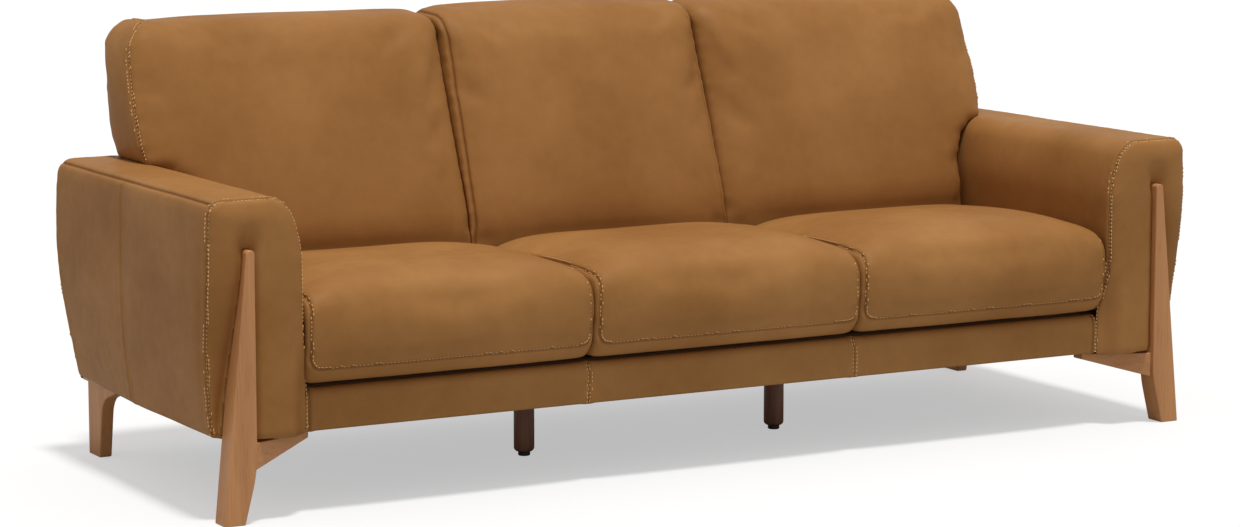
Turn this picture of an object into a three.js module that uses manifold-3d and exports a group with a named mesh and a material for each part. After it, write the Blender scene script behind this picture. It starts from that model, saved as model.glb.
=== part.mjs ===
// A three-seat leather sofa on wooden legs, with loose seat cushions.
// Millimetres. +X runs to the right as seen from the front, +Y to the back, +Z up from the floor.
// Inside this file Y = 0 is the face of the arms' front panels. The finished group is moved along Y
// so that its origin is on the floor under the middle of the sofa.

import * as THREE from 'three';
import { mergeVertices } from 'three/addons/utils/BufferGeometryUtils.js';
import Module from 'manifold-3d';

const wasm = await Module();
wasm.setup();

// ---------------------------------------------------------------- driving dimensions

const OVERALL_WIDTH = 2200;      // outside of one arm to the outside of the other
const ARM_WIDTH = 200;           // one arm with its padding
const ARM_HEIGHT = 595;          // floor to the top of an arm
const ARM_DEPTH = 760;           // front panel to the rear end of an arm
const UNDERSIDE = 148;           // floor to the lowest leather
const BACK_HEIGHT = 866;         // floor to the top of the back cushions
const TOUCH = 0.4;               // gap between pieces that bear on each other

// Upholstery
const SEATS = 3;
const BACK_ZONE = 270;           // from the rear of the seat cushions to the rear end of the arms
const SEAT_CUSHION_HEIGHT = 209; // at its crown
const SEAT_OVERHANG = 18;        // a seat cushion's nose in front of the arms' front panels
const CUSHION_GAP = 4;           // beside each seat cushion
const BACK_GAP = 4;              // between two back cushions
const BACK_WING = 90;            // an end back cushion's reach over the arm
const CUSHION_LEAN = 0.397;      // run over rise of a back cushion's front
const PAD_FRONT = 21;            // arm front panel
const PAD_INNER = 34;            // arm panel beside the seat
const PAD_OUTER = 50;            // arm outer side, at its fullest
const PAD_TOP = 25;
const PAD_REAR = 20;
const ARM_SHOULDER = 58;         // radius over the arm's inner top edge
const ARM_RIM = 12;              // radius along its outer top edge
const ARM_RIM_INSET = 8;         // that edge inside the fullest line of the outer side
const ARM_LOW_INSET = 10;        // the same low on the outer side
const ARM_HEM_INSET = 22;        // and at its lower edge
const ARM_HEM = 7;               // lower edge of the arm's sides above the front panel's
const ARM_LIP = 14;              // front panel's reach past the arm's inner side, under the seat
const LIP_RISE = 6;              // slope from that lip up to the arm's inner side
const RAIL_SETBACK = 20;         // front rail leather behind the arms' front panels
const RAIL_PAD = 34;
const BACK_PANEL = 8;            // outside back leather and its board
const BACK_PANEL_LEAN = 0.062;   // run over rise
const BACK_PANEL_STEP = 5;       // outside back behind the arms' rear ends, at the underside
const BACK_PANEL_RISE = 4;       // its top above the back frame
const BACK_CLEAR = 8;            // seat cushions to the back cushions
const BACK_DEPTH = 100;          // seat cushions to the back frame, at the deck
const BACK_SADDLE = 6;           // back cushions' wrap above the back frame
const BACK_SHOULDER = 30;        // fall from a back cushion's crown to its front
const BACK_SHOULDER_RUN = 46;
const SEAT_NOSE = 24;            // fall from a seat cushion's crown to its nose
const SEAT_TAIL = 16;            // and to its rear edge

// Timber frame
const BOARD = 28;                // posts and rear rail
const RAIL_THICK = 30;           // front rail and cross rails
const RAIL_HEIGHT = 70;
const SIDE_RAIL_HEIGHT = 40;
const TOP_RAIL_THICK = 25;       // board on top of the arm posts
const BACK_RAIL_HEIGHT = 40;
const BACK_RAIL_DEPTH = 28;
const BACK_COVERED = 66;         // cushion above the top of the back frame
const BLOCK_LEG = 80;            // short side of a corner block
const BLOCK_INSET = 5;           // corner blocks inside the height of the rails
const UPRIGHT_STEP = 9;          // sloping fronts of the back uprights start above the deck
const DUST_GAP = 4;              // underside of the leather to the frame

// Suspension
const STRAP = 50;                // webbing width
const STRAP_THICK = 2;
const WEB_BEARING = 13;          // webbing's hold on the rear rail, in front of the back uprights
const SEAT_NET = [4, 5];         // openings across and front to back
const BACK_NET = [12, 4];        // openings across and up
const NET_INSET = 12;            // back webbing inside the ends of the uprights' sloping fronts
const DECK_THICK = 11;
const DECK_LAP = 8;              // deck over the front rail's padding

// Front legs: a blade let into the arm's front panel, widening into a splayed foot
const LEG_DROP = 95;             // tip of the blade below the top of the arm
const LEG_INSET = 94;            // inner edge of the blade from the outside of the arm
const LEG_TIP = 16;              // width of the blade at its tip
const LEG_FOOT = 41;             // width on the floor
const LEG_SPLAY = 66;            // foot's outer corner, outward from the blade's inner edge
const LEG_KNEE = 98;             // height where the inner edge turns outward
const LEG_PROUD = 25;            // in front of the arm's front panel
const SLOT_GAP = 0.6;            // front panel clear of the blade
const BRACKET_LENGTH = 131;
const BRACKET_END = 12;          // height at its thin end
const BRACKET_THICK = 30;
const BRACKET_SWEEP = 0.48;      // run back over run inward
const BRACKET_SETBACK = 7;       // behind the face of the leg

// Rear legs
const REAR_LEG_THICK = 26;
const REAR_LEG_INSET = 64;       // outer face from the outside of the arm
const REAR_LEG_FOOT = 58;        // depth on the floor
const REAR_LEG_TOP = 152;        // depth under the arm
const REAR_LEG_SETBACK = 8;      // from the rear end of the arm
const REAR_LEG_LIP = 8;          // height of the flare's front edge
const REAR_LEG_BEND = 34;        // middle of the flare's hollow below its top
const REAR_LEG_BEND_RUN = 20;    // and in front of the foot

// Centre support legs
const CENTRE_LEG_RADIUS = 20.5;
const CENTRE_LEG_INBOARD = 10;   // from the gap between two seat cushions, toward the middle
const CENTRE_LEG_Y = 310;
const GLIDE_RADIUS = 12;
const GLIDE_HEIGHT = 8;
const BOLT_RADIUS = 4;
const BOLT_HEAD_RADIUS = 8;
const BOLT_HEAD = 5;
const BOLT_DEPTH = 40;           // in a rear or centre leg, and in a cross rail
const FRONT_BOLT_DEPTH = 28;     // in the blade of a front leg
const FRONT_BOLT_RISE = 92;      // above the underside
const NAIL_RADIUS = 2;           // glide's nail
const NAIL_LENGTH = 18;
const END_GAP = 2;               // past the end of a bolt or a nail
const BORE_GAP = 0.5;            // radial, round a bolt or a nail

// ---------------------------------------------------------------- derived places

const armOuter = OVERALL_WIDTH / 2;
const armInner = armOuter - ARM_WIDTH;
const frameInner = armInner + PAD_INNER + TOUCH;
const frameOuter = armOuter - PAD_OUTER - TOUCH;
const frameBottom = UNDERSIDE + DUST_GAP;
const railTop = frameBottom + RAIL_HEIGHT;
const webTop = railTop + TOUCH + STRAP_THICK;
const deckTop = webTop + TOUCH + DECK_THICK;
const postFront = PAD_FRONT + TOUCH;
const postTop = ARM_HEIGHT - PAD_TOP - 2 * TOUCH - TOP_RAIL_THICK;
const rearInner = ARM_DEPTH - PAD_REAR - TOUCH;
const rearPostFront = rearInner - BOARD;
const frontRailY = RAIL_SETBACK + RAIL_PAD + TOUCH;
const bayX = armInner / SEATS;
const centreLegX = bayX - CENTRE_LEG_INBOARD;
const seatBottom = deckTop + TOUCH;
const seatTop = seatBottom + SEAT_CUSHION_HEIGHT;
const seatRear = ARM_DEPTH - BACK_ZONE;
const frameTop = BACK_HEIGHT - BACK_COVERED;
const postFoot = deckTop + UPRIGHT_STEP;
const coverTop = frameTop + BACK_PANEL_RISE;
const bladeX = armOuter - LEG_INSET;
const bladeTop = ARM_HEIGHT - LEG_DROP;

// Lines across the side view of the back: Y for a height
const backRear = (z) => ARM_DEPTH + BACK_PANEL_STEP + (z - UNDERSIDE) * BACK_PANEL_LEAN;
const postRear = (z) => backRear(z) - BACK_PANEL - TOUCH;
const frameFootY = seatRear + BACK_DEPTH;
const frameLean = (postRear(frameTop) - BACK_RAIL_DEPTH - frameFootY) / (frameTop - postFoot);
const frameFront = (z) => frameFootY + (z - postFoot) * frameLean;
const cushionFront = (z) => seatRear + BACK_CLEAR + Math.max(0, z - seatTop) * CUSHION_LEAN;
const cushionRear = (z) => frameFront(z) - STRAP_THICK - 5 * TOUCH;

// ---------------------------------------------------------------- materials

const material = (color, roughness, metalness = 0) =>
  new THREE.MeshStandardMaterial({ color, roughness, metalness });

const FINISH = {
  leather: () => material(0x9a6a3c, 0.45),
  legWood: () => material(0xb08560, 0.5),
  darkWood: () => material(0x7a5038, 0.45),
  timber: () => material(0xc9a877, 0.8),
  webbing: () => material(0x3a3632, 0.9),
  cloth: () => material(0x222222, 0.95),
  steel: () => material(0x9a9da0, 0.35, 1),
  plastic: () => material(0x141414, 0.5),
};

// ---------------------------------------------------------------- shapes

// A closed outline through corners [a, b, radius]; a missing radius is a sharp corner.
// A round corner takes at most half of each edge that meets in it.
function outline(corners) {
  const shape = new THREE.Shape();
  corners.forEach(([a, b, radius = 0], i) => {
    const corner = new THREE.Vector2(a, b);
    const before = new THREE.Vector2(...corners.at(i - 1)).sub(corner);
    const after = new THREE.Vector2(...corners[(i + 1) % corners.length]).sub(corner);
    const reach = Math.min(radius, 0.49 * before.length(), 0.49 * after.length());
    const enter = before.setLength(reach).add(corner);
    const leave = after.setLength(reach).add(corner);
    if (i === 0) shape.moveTo(enter.x, enter.y);
    else shape.lineTo(enter.x, enter.y);
    if (reach > 0) shape.quadraticCurveTo(corner.x, corner.y, leave.x, leave.y);
  });
  shape.closePath();
  return shape;
}

function extrude(shape, depth, curveSegments) {
  return new THREE.ExtrudeGeometry(shape, { depth, bevelEnabled: false, curveSegments });
}

// An outline in (x, z), from y0 to y1
function alongY(shape, y0, y1, curveSegments = 5) {
  const place = new THREE.Matrix4().set(1, 0, 0, 0, 0, 0, -1, y1, 0, 1, 0, 0, 0, 0, 0, 1);
  return extrude(shape, y1 - y0, curveSegments).applyMatrix4(place);
}

// An outline in (y, z), from x0 to x1
function alongX(shape, x0, x1, curveSegments = 5) {
  const place = new THREE.Matrix4().set(0, 0, 1, x0, 1, 0, 0, 0, 0, 1, 0, 0, 0, 0, 0, 1);
  return extrude(shape, x1 - x0, curveSegments).applyMatrix4(place);
}

// An outline in (x, y), from z0 to z1
function alongZ(shape, z0, z1) {
  return extrude(shape, z1 - z0, 5).translate(0, 0, z0);
}

function box(x0, x1, y0, y1, z0, z1) {
  const solid = new THREE.BoxGeometry(x1 - x0, y1 - y0, z1 - z0);
  return solid.translate((x0 + x1) / 2, (y0 + y1) / 2, (z0 + z1) / 2);
}

// A round bar between two heights, standing at (x, y)
function uprightBar(x, y, z0, z1, radius) {
  const bar = new THREE.CylinderGeometry(radius, radius, z1 - z0, 16).rotateX(Math.PI / 2);
  return bar.translate(x, y, (z0 + z1) / 2);
}

// A round bar along Y at (x, z)
function levelBar(x, z, y0, y1, radius) {
  const bar = new THREE.CylinderGeometry(radius, radius, y1 - y0, 16);
  return bar.translate(x, (y0 + y1) / 2, z);
}

// A turned piece standing at (x, y) from a profile of [radius, height]
function turned(profile, x, y) {
  const points = profile.map(([r, z]) => new THREE.Vector2(r, z));
  return new THREE.LatheGeometry(points, 24).rotateX(Math.PI / 2).translate(x, y, 0);
}

// Mirror corners [x, b, radius] to the side of the sofa that sign names
const onSide = (sign, corners) => corners.map(([x, ...rest]) => [sign * x, ...rest]);

// ---------------------------------------------------------------- booleans

function toManifold(geometry) {
  const bare = geometry.clone();
  bare.deleteAttribute('normal');
  bare.deleteAttribute('uv');
  const merged = mergeVertices(bare, 1e-3);
  const triangles = [];
  for (let i = 0; i < merged.index.count; i += 3) {
    const [a, b, c] = [0, 1, 2].map((k) => merged.index.getX(i + k));
    if (a !== b && b !== c && c !== a) triangles.push(a, b, c);
  }
  return new wasm.Manifold(new wasm.Mesh({
    numProp: 3,
    vertProperties: new Float32Array(merged.attributes.position.array),
    triVerts: new Uint32Array(triangles),
  }));
}

function toGeometry(solid) {
  const mesh = solid.getMesh();
  const geometry = new THREE.BufferGeometry();
  geometry.setAttribute('position', new THREE.BufferAttribute(mesh.vertProperties, 3));
  geometry.setIndex(new THREE.BufferAttribute(mesh.triVerts, 1));
  geometry.computeVertexNormals();
  return geometry;
}

function cut(geometry, ...tools) {
  const solid = tools.reduce((left, tool) => left.subtract(toManifold(tool)), toManifold(geometry));
  return toGeometry(solid);
}

function join(first, ...others) {
  const solid = others.reduce((sum, other) => sum.add(toManifold(other)), toManifold(first));
  return toGeometry(solid);
}

// ---------------------------------------------------------------- assembly

const sofa = new THREE.Group();

function add(name, geometry, finish) {
  const mesh = new THREE.Mesh(geometry, FINISH[finish]());
  mesh.name = name;
  sofa.add(mesh);
}

const SIDES = [['left', -1], ['right', 1]];

// ---- base frame: a ring of rails, two cross rails, four corner blocks

// The bolts of the front and rear legs pass through these places
const blade = (z) => bladeX + LEG_TIP + (bladeTop - z) * (LEG_SPLAY - LEG_TIP) / bladeTop;
const frontBoltZ = UNDERSIDE + FRONT_BOLT_RISE;
const frontBoltX = (bladeX + blade(frontBoltZ)) / 2;
const rearBoltX = armOuter - REAR_LEG_INSET - REAR_LEG_THICK / 2;
const rearBoltY = ARM_DEPTH - REAR_LEG_SETBACK - REAR_LEG_FOOT;
const bore = BOLT_RADIUS + BORE_GAP;

function baseFrame() {
  const end = frameInner - TOUCH;
  const frontRail = box(-end, end, frontRailY, frontRailY + RAIL_THICK, frameBottom, railTop);
  add('front_rail', frontRail, 'timber');
  add('rear_rail', box(-end, end, rearPostFront, rearInner, frameBottom, railTop), 'timber');
  for (const [side, sign] of SIDES) {
    const [x0, x1] = sign > 0 ? [frameInner, frameOuter] : [-frameOuter, -frameInner];
    const y0 = postFront + BOARD + TOUCH;
    const rail = box(x0, x1, y0, rearPostFront - TOUCH, frameBottom, frameBottom + SIDE_RAIL_HEIGHT);
    const hole = uprightBar(sign * rearBoltX, rearBoltY, frameBottom - 1, railTop, bore);
    add(`side_rail_${side}`, cut(rail, hole), 'timber');

    const middle = sign * centreLegX;
    const cross = box(middle - RAIL_THICK / 2, middle + RAIL_THICK / 2,
      frontRailY + RAIL_THICK + TOUCH, rearPostFront - TOUCH, frameBottom, railTop);
    const boltHole = uprightBar(middle, CENTRE_LEG_Y,
      frameBottom - 1, frameBottom + BOLT_DEPTH + END_GAP, bore);
    add(`cross_rail_${side}`, cut(cross, boltHole), 'timber');
  }
}

function cornerBlocks() {
  const rows = [
    ['front', frontRailY + RAIL_THICK + TOUCH, 1],
    ['rear', rearPostFront - TOUCH, -1],
  ];
  for (const [side, sign] of SIDES) {
    for (const [row, y, inward] of rows) {
      const x = frameInner - TOUCH;
      const triangle = onSide(sign, [[x, y], [x - BLOCK_LEG, y], [x, y + inward * BLOCK_LEG]]);
      const block = alongZ(outline(triangle), frameBottom + BLOCK_INSET, railTop - BLOCK_INSET);
      add(`corner_block_${row}_${side}`, block, 'timber');
    }
  }
}

// ---- arm frames: a front and a rear post with a board across their tops

function armFrames() {
  for (const [side, sign] of SIDES) {
    const [x0, x1] = sign > 0 ? [frameInner, frameOuter] : [-frameOuter, -frameInner];
    const front = box(x0, x1, postFront, postFront + BOARD, frameBottom, postTop);
    const hole = levelBar(sign * frontBoltX, frontBoltZ, 0, frontRailY, bore);
    add(`arm_front_post_${side}`, cut(front, hole), 'timber');
    add(`arm_rear_post_${side}`, box(x0, x1, rearPostFront, rearInner, frameBottom, postTop), 'timber');
    const z0 = postTop + TOUCH;
    add(`arm_top_rail_${side}`, box(x0, x1, postFront, rearInner, z0, z0 + TOP_RAIL_THICK), 'timber');
  }
}

// ---- back frame: four shaped uprights on the rear rail, with a rail across their tops

function backFrame() {
  const top = frameTop - BACK_RAIL_HEIGHT;
  const uprightFoot = rearPostFront + WEB_BEARING + TOUCH;
  const upright = outline([
    [frameFront(postFoot), postFoot],
    [frameFront(top - TOUCH), top - TOUCH],
    [postRear(top - TOUCH), top - TOUCH],
    [postRear(railTop + TOUCH), railTop + TOUCH],
    [uprightFoot, railTop + TOUCH],
    [uprightFoot, postFoot],
  ]);
  const end = armInner - TOUCH;
  const starts = [-end, -bayX - RAIL_THICK / 2, bayX - RAIL_THICK / 2, end - RAIL_THICK];
  starts.forEach((x, i) => add(`back_upright_${i + 1}`, alongX(upright, x, x + RAIL_THICK), 'timber'));
  const rail = outline([
    [frameFront(top), top],
    [frameFront(frameTop), frameTop],
    [postRear(frameTop), frameTop],
    [postRear(top), top],
  ]);
  add('back_top_rail', alongX(rail, -end, end), 'timber');
}

// ---- suspension: woven straps over the seat and the back, a padded deck, a dust cover

// A net of straps lying in the XY plane, width by length from its corner, with equal openings
function net(width, length, across, along) {
  const open = [(width - STRAP * (across + 1)) / across, (length - STRAP * (along + 1)) / along];
  const openings = [];
  for (let i = 0; i < across; i += 1) {
    for (let j = 0; j < along; j += 1) {
      const x = STRAP + i * (open[0] + STRAP);
      const y = STRAP + j * (open[1] + STRAP);
      openings.push(box(x, x + open[0], y, y + open[1], -1, STRAP_THICK + 1));
    }
  }
  return cut(box(0, width, 0, length, 0, STRAP_THICK), ...openings);
}

function suspension() {
  const bay = 2 * armInner / SEATS;
  const names = ['left', 'middle', 'right'];
  names.forEach((name, i) => {
    const x = -armInner + i * bay + TOUCH;
    const seat = net(bay - 2 * TOUCH, rearPostFront + WEB_BEARING - frontRailY, ...SEAT_NET);
    add(`seat_webbing_${name}`, seat.translate(x, frontRailY, railTop + TOUCH), 'webbing');
  });

  // The back's net lies on the sloping fronts of the uprights
  const end = armInner - TOUCH;
  const low = postFoot + NET_INSET;
  const angle = Math.atan(frameLean);
  const length = (frameTop - NET_INSET - low) / Math.cos(angle);
  const [s, c] = [Math.sin(angle), Math.cos(angle)];
  const place = new THREE.Matrix4().set(1, 0, 0, -end, 0, s, -c, frameFront(low) - TOUCH / c,
    0, c, s, low, 0, 0, 0, 1);
  add('back_webbing', net(2 * end, length, ...BACK_NET).applyMatrix4(place), 'webbing');

  const deckFront = RAIL_SETBACK + RAIL_PAD - DECK_LAP;
  const deck = box(-end, end, deckFront, rearPostFront - TOUCH, webTop + TOUCH, deckTop);
  add('seat_deck', deck, 'cloth');

  const sheetEnd = frameInner - TOUCH;
  const sheet = outline([[-sheetEnd, frontRailY], [sheetEnd, frontRailY],
    [sheetEnd, rearInner], [-sheetEnd, rearInner]]);
  for (const [, sign] of SIDES) {
    const hole = new THREE.Path();
    hole.absarc(sign * centreLegX, CENTRE_LEG_Y, bore + 1, 0, 2 * Math.PI, true);
    sheet.holes.push(hole);
  }
  add('dust_cover', alongZ(sheet, frameBottom - TOUCH - STRAP_THICK, frameBottom - TOUCH), 'cloth');
}

// ---- arm upholstery: a front panel round the leg's blade, outer side, top and inner side, rear end

const armBottom = UNDERSIDE + ARM_HEM;
const bulge = [
  [armOuter, armBottom + (ARM_HEIGHT - armBottom) * 0.65, 120],
  [armOuter - ARM_LOW_INSET, armBottom + (ARM_HEIGHT - armBottom) * 0.17, 60],
  [armOuter - ARM_HEM_INSET, armBottom, 12],
];

// A blade with its splayed foot, grown on all sides by a clearance
function legOutline(sign, grow = 0) {
  const foot = -grow;
  return outline(onSide(sign, [
    [bladeX - grow, bladeTop + grow, LEG_TIP * 0.45],
    [bladeX + LEG_TIP + grow, bladeTop + grow, LEG_TIP * 0.45],
    [bladeX + LEG_SPLAY + grow, foot],
    [bladeX + LEG_SPLAY - LEG_FOOT - grow, foot],
    [bladeX - grow, LEG_KNEE, 30],
  ]));
}

function armUpholstery() {
  const seatLine = deckTop;
  const lip = armInner - ARM_LIP;
  for (const [side, sign] of SIDES) {
    const front = outline(onSide(sign, [
      [armInner, ARM_HEIGHT, ARM_SHOULDER],
      [armOuter - ARM_RIM_INSET, ARM_HEIGHT, ARM_RIM],
      ...bulge,
      [lip, UNDERSIDE, 4],
      [lip, seatLine - LIP_RISE],
      [armInner, seatLine],
    ]));
    const slot = alongY(legOutline(sign, SLOT_GAP), -1, PAD_FRONT + 1);
    add(`arm_front_panel_${side}`, cut(alongY(front, 0, PAD_FRONT), slot), 'leather');

    const rear = outline(onSide(sign, [
      [armInner, ARM_HEIGHT, ARM_SHOULDER],
      [armOuter - ARM_RIM_INSET, ARM_HEIGHT, ARM_RIM],
      ...bulge,
      [armInner, armBottom],
    ]));
    add(`arm_rear_panel_${side}`, alongY(rear, ARM_DEPTH - PAD_REAR, ARM_DEPTH), 'leather');

    const edge = ARM_HEIGHT - PAD_TOP;
    const outer = outline(onSide(sign, [
      [frameOuter + TOUCH, edge - TOUCH],
      [armOuter - ARM_RIM_INSET, edge - TOUCH],
      ...bulge,
      [frameOuter + TOUCH, armBottom],
    ]));
    add(`arm_outer_panel_${side}`, alongY(outer, postFront, rearInner), 'leather');

    const inner = outline(onSide(sign, [
      [armInner, ARM_HEIGHT, ARM_SHOULDER],
      [armOuter - ARM_RIM_INSET, ARM_HEIGHT, ARM_RIM],
      [armOuter - ARM_RIM_INSET, edge],
      [frameInner - TOUCH, edge],
      [frameInner - TOUCH, deckTop + TOUCH],
      [armInner, deckTop + TOUCH],
    ]));
    add(`arm_inner_panel_${side}`, alongY(inner, postFront, rearInner), 'leather');
  }

  const end = lip - TOUCH;
  const railCoverTop = deckTop - 4;
  const railCover = outline([
    [RAIL_SETBACK, UNDERSIDE, 8],
    [RAIL_SETBACK, railCoverTop, 12],
    [RAIL_SETBACK + RAIL_PAD - DECK_LAP - TOUCH, railCoverTop],
    [RAIL_SETBACK + RAIL_PAD - DECK_LAP - TOUCH, webTop],
    [RAIL_SETBACK + RAIL_PAD, railTop],
    [RAIL_SETBACK + RAIL_PAD, UNDERSIDE],
  ]);
  add('front_rail_cover', alongX(railCover, -end, end), 'leather');

  // The outside back is a board covered in leather. Above the arms it is a little wider, and its
  // cheeks come forward over the ends of the back frame to the back cushions.
  const board = (low) => outline([
    [backRear(low), low],
    [backRear(coverTop), coverTop],
    [backRear(coverTop) - BACK_PANEL, coverTop],
    [backRear(low) - BACK_PANEL, low],
  ]);
  const aboveArm = ARM_HEIGHT + 1;
  const cheek = outline([
    [cushionRear(aboveArm) + TOUCH, aboveArm],
    [cushionRear(coverTop) + TOUCH, coverTop],
    [backRear(coverTop), coverTop],
    [backRear(aboveArm), aboveArm],
  ]);
  const wide = armInner + BACK_PANEL;
  add('outside_back', join(
    alongX(board(UNDERSIDE), -armInner + TOUCH, armInner - TOUCH),
    alongX(board(aboveArm), -wide, wide),
    alongX(cheek, -wide, -armInner),
    alongX(cheek, armInner, wide),
  ), 'leather');
}

// ---- cushions: three loose on the deck, three over the back frame

function seatCushions() {
  const width = (2 * armInner - (SEATS + 1) * CUSHION_GAP) / SEATS;
  const side = outline([
    [0, seatBottom, 10],
    [-SEAT_OVERHANG, seatBottom + 0.3 * SEAT_CUSHION_HEIGHT, 40],
    [-SEAT_OVERHANG + 8, seatTop - SEAT_NOSE, 50],
    [0.3 * seatRear, seatTop, 120],
    [0.8 * seatRear, seatTop, 80],
    [seatRear, seatTop - SEAT_TAIL, 16],
    [seatRear - 4, seatBottom, 10],
  ]);
  ['left', 'middle', 'right'].forEach((name, i) => {
    const x = -armInner + CUSHION_GAP + i * (width + CUSHION_GAP);
    add(`seat_cushion_${name}`, alongX(side, x, x + width), 'leather');
  });
}

function backCushions() {
  const over = frameTop + BACK_SADDLE;
  const shoulder = BACK_HEIGHT - BACK_SHOULDER;
  const side = outline([
    [cushionFront(seatBottom), seatBottom, 10],
    [cushionFront(seatTop), seatTop, 30],
    [cushionFront(shoulder), shoulder, 30],
    [cushionFront(shoulder) + BACK_SHOULDER_RUN, BACK_HEIGHT, 36],
    [backRear(over) - BACK_SADDLE, BACK_HEIGHT, 26],
    [backRear(over) - BACK_SADDLE, over],
    [cushionRear(over), over],
    [cushionRear(seatBottom), seatBottom],
  ]);
  const clear = ARM_HEIGHT + 1;
  ['left', 'middle', 'right'].forEach((name, i) => {
    const sign = i - 1;
    const near = bayX + BACK_GAP / 2;
    const wing = armInner + BACK_WING;
    const middle = bayX - BACK_GAP / 2;
    const [x0, x1] = [[-wing, -near], [-middle, middle], [near, wing]][i];
    const cushion = alongX(side, x0, x1);
    const arm = sign > 0
      ? box(armInner - TOUCH, wing + 1, 0, 2 * ARM_DEPTH, 0, clear)
      : box(-wing - 1, -armInner + TOUCH, 0, 2 * ARM_DEPTH, 0, clear);
    add(`back_cushion_${name}`, sign ? cut(cushion, arm) : cushion, 'leather');
  });
}

// ---- legs

function frontLegs() {
  const top = UNDERSIDE - TOUCH;
  const rear = PAD_FRONT;
  for (const [side, sign] of SIDES) {
    const boltEnd = rear - FRONT_BOLT_DEPTH;
    const hole = levelBar(sign * frontBoltX, frontBoltZ, boltEnd - END_GAP, rear + 1, bore);
    add(`front_leg_${side}`, cut(alongY(legOutline(sign), -LEG_PROUD, rear), hole), 'legWood');

    // The bracket's thin end reaches back and inward under the front rail
    const x = bladeX - TOUCH;
    const wedge = outline(onSide(sign, [
      [x, top],
      [x, LEG_KNEE],
      [x - BRACKET_LENGTH, top - BRACKET_END],
      [x - BRACKET_LENGTH, top],
    ]));
    const y = BRACKET_SETBACK - LEG_PROUD;
    const sweep = new THREE.Matrix4().set(1, 0, 0, 0, -sign * BRACKET_SWEEP, 1, 0, BRACKET_SWEEP * x,
      0, 0, 1, 0, 0, 0, 0, 1);
    const bracket = alongY(wedge, y, y + BRACKET_THICK).applyMatrix4(sweep);
    add(`front_bracket_${side}`, bracket, 'legWood');

    const headY = postFront + BOARD + TOUCH;
    const shank = levelBar(sign * frontBoltX, frontBoltZ, boltEnd, headY + 1, BOLT_RADIUS);
    const head = levelBar(sign * frontBoltX, frontBoltZ, headY, headY + BOLT_HEAD, BOLT_HEAD_RADIUS);
    add(`front_leg_bolt_${side}`, join(shank, head), 'steel');
  }
}

function rearLegs() {
  const rear = ARM_DEPTH - REAR_LEG_SETBACK;
  const top = frameBottom - TOUCH;
  const shape = outline([
    [rear, 0, 4],
    [rear, top],
    [rear - REAR_LEG_TOP, top],
    [rear - REAR_LEG_TOP, top - REAR_LEG_LIP],
    [rear - REAR_LEG_FOOT - REAR_LEG_BEND_RUN, top - REAR_LEG_BEND, 26],
    [rear - REAR_LEG_FOOT, 0, 4],
  ]);
  for (const [side, sign] of SIDES) {
    const outer = sign * (armOuter - REAR_LEG_INSET);
    const inner = outer - sign * REAR_LEG_THICK;
    const [x0, x1] = [Math.min(outer, inner), Math.max(outer, inner)];
    const x = sign * rearBoltX;
    const hole = uprightBar(x, rearBoltY, top - BOLT_DEPTH - END_GAP, top + 1, bore);
    add(`rear_leg_${side}`, cut(alongX(shape, x0, x1), hole), 'legWood');

    const seat = frameBottom + SIDE_RAIL_HEIGHT + TOUCH;
    const shank = uprightBar(x, rearBoltY, top - BOLT_DEPTH, seat + 1, BOLT_RADIUS);
    const head = uprightBar(x, rearBoltY, seat, seat + BOLT_HEAD, BOLT_HEAD_RADIUS);
    add(`rear_leg_bolt_${side}`, join(shank, head), 'steel');
  }
}

function centreLegs() {
  const top = frameBottom - 2 * TOUCH - STRAP_THICK;
  const bottom = GLIDE_HEIGHT + TOUCH;
  const nailTop = GLIDE_HEIGHT + NAIL_LENGTH;
  const boltEnd = top - BOLT_DEPTH;
  const round = CENTRE_LEG_RADIUS - GLIDE_RADIUS;
  const end = Array.from({ length: 5 }, (_, i) => {
    const turn = (i / 4) * Math.PI / 2;
    return [GLIDE_RADIUS + round * Math.sin(turn), bottom + round * (1 - Math.cos(turn))];
  });
  const leg = [
    [0, nailTop + END_GAP], [NAIL_RADIUS + BORE_GAP, nailTop + END_GAP],
    [NAIL_RADIUS + BORE_GAP, bottom], ...end,
    [CENTRE_LEG_RADIUS, top], [bore, top], [bore, boltEnd - END_GAP], [0, boltEnd - END_GAP],
  ];
  const glide = [[0, 0], [GLIDE_RADIUS - 1, 0], [GLIDE_RADIUS, 1], [GLIDE_RADIUS, GLIDE_HEIGHT],
    [NAIL_RADIUS, GLIDE_HEIGHT], [NAIL_RADIUS, nailTop], [0, nailTop]];
  for (const [side, sign] of SIDES) {
    const x = sign * centreLegX;
    add(`centre_leg_${side}`, turned(leg, x, CENTRE_LEG_Y), 'darkWood');
    add(`centre_leg_glide_${side}`, turned(glide, x, CENTRE_LEG_Y), 'plastic');
    const bolt = uprightBar(x, CENTRE_LEG_Y, boltEnd, frameBottom + BOLT_DEPTH, BOLT_RADIUS);
    add(`centre_leg_bolt_${side}`, bolt, 'steel');
  }
}

baseFrame();
cornerBlocks();
armFrames();
backFrame();
suspension();
armUpholstery();
seatCushions();
backCushions();
frontLegs();
rearLegs();
centreLegs();

// Centre the sofa over its origin, from the face of the front legs to the top of the outside back
sofa.position.y = -(backRear(coverTop) - LEG_PROUD) / 2;

export default sofa;
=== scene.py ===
# %% [markdown]
# # A three-seat leather sofa on wooden legs
#
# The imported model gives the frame: timber, webbing, bolts and plain solids for everything soft.
# This lesson keeps the hard parts and makes the parts that are seen: leather arms, a front rail,
# an outside back, six stuffed cushions, their stitching, and the bevelled legs. Every place comes
# from the boxes of the frame's own nodes, so nothing has to be fitted by eye.

# %% Load the frame
import math

import bmesh
import bpy
import numpy as np
from mathutils import Matrix, Vector, noise
from mathutils.bvhtree import BVHTree
from mathutils.kdtree import KDTree


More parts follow.
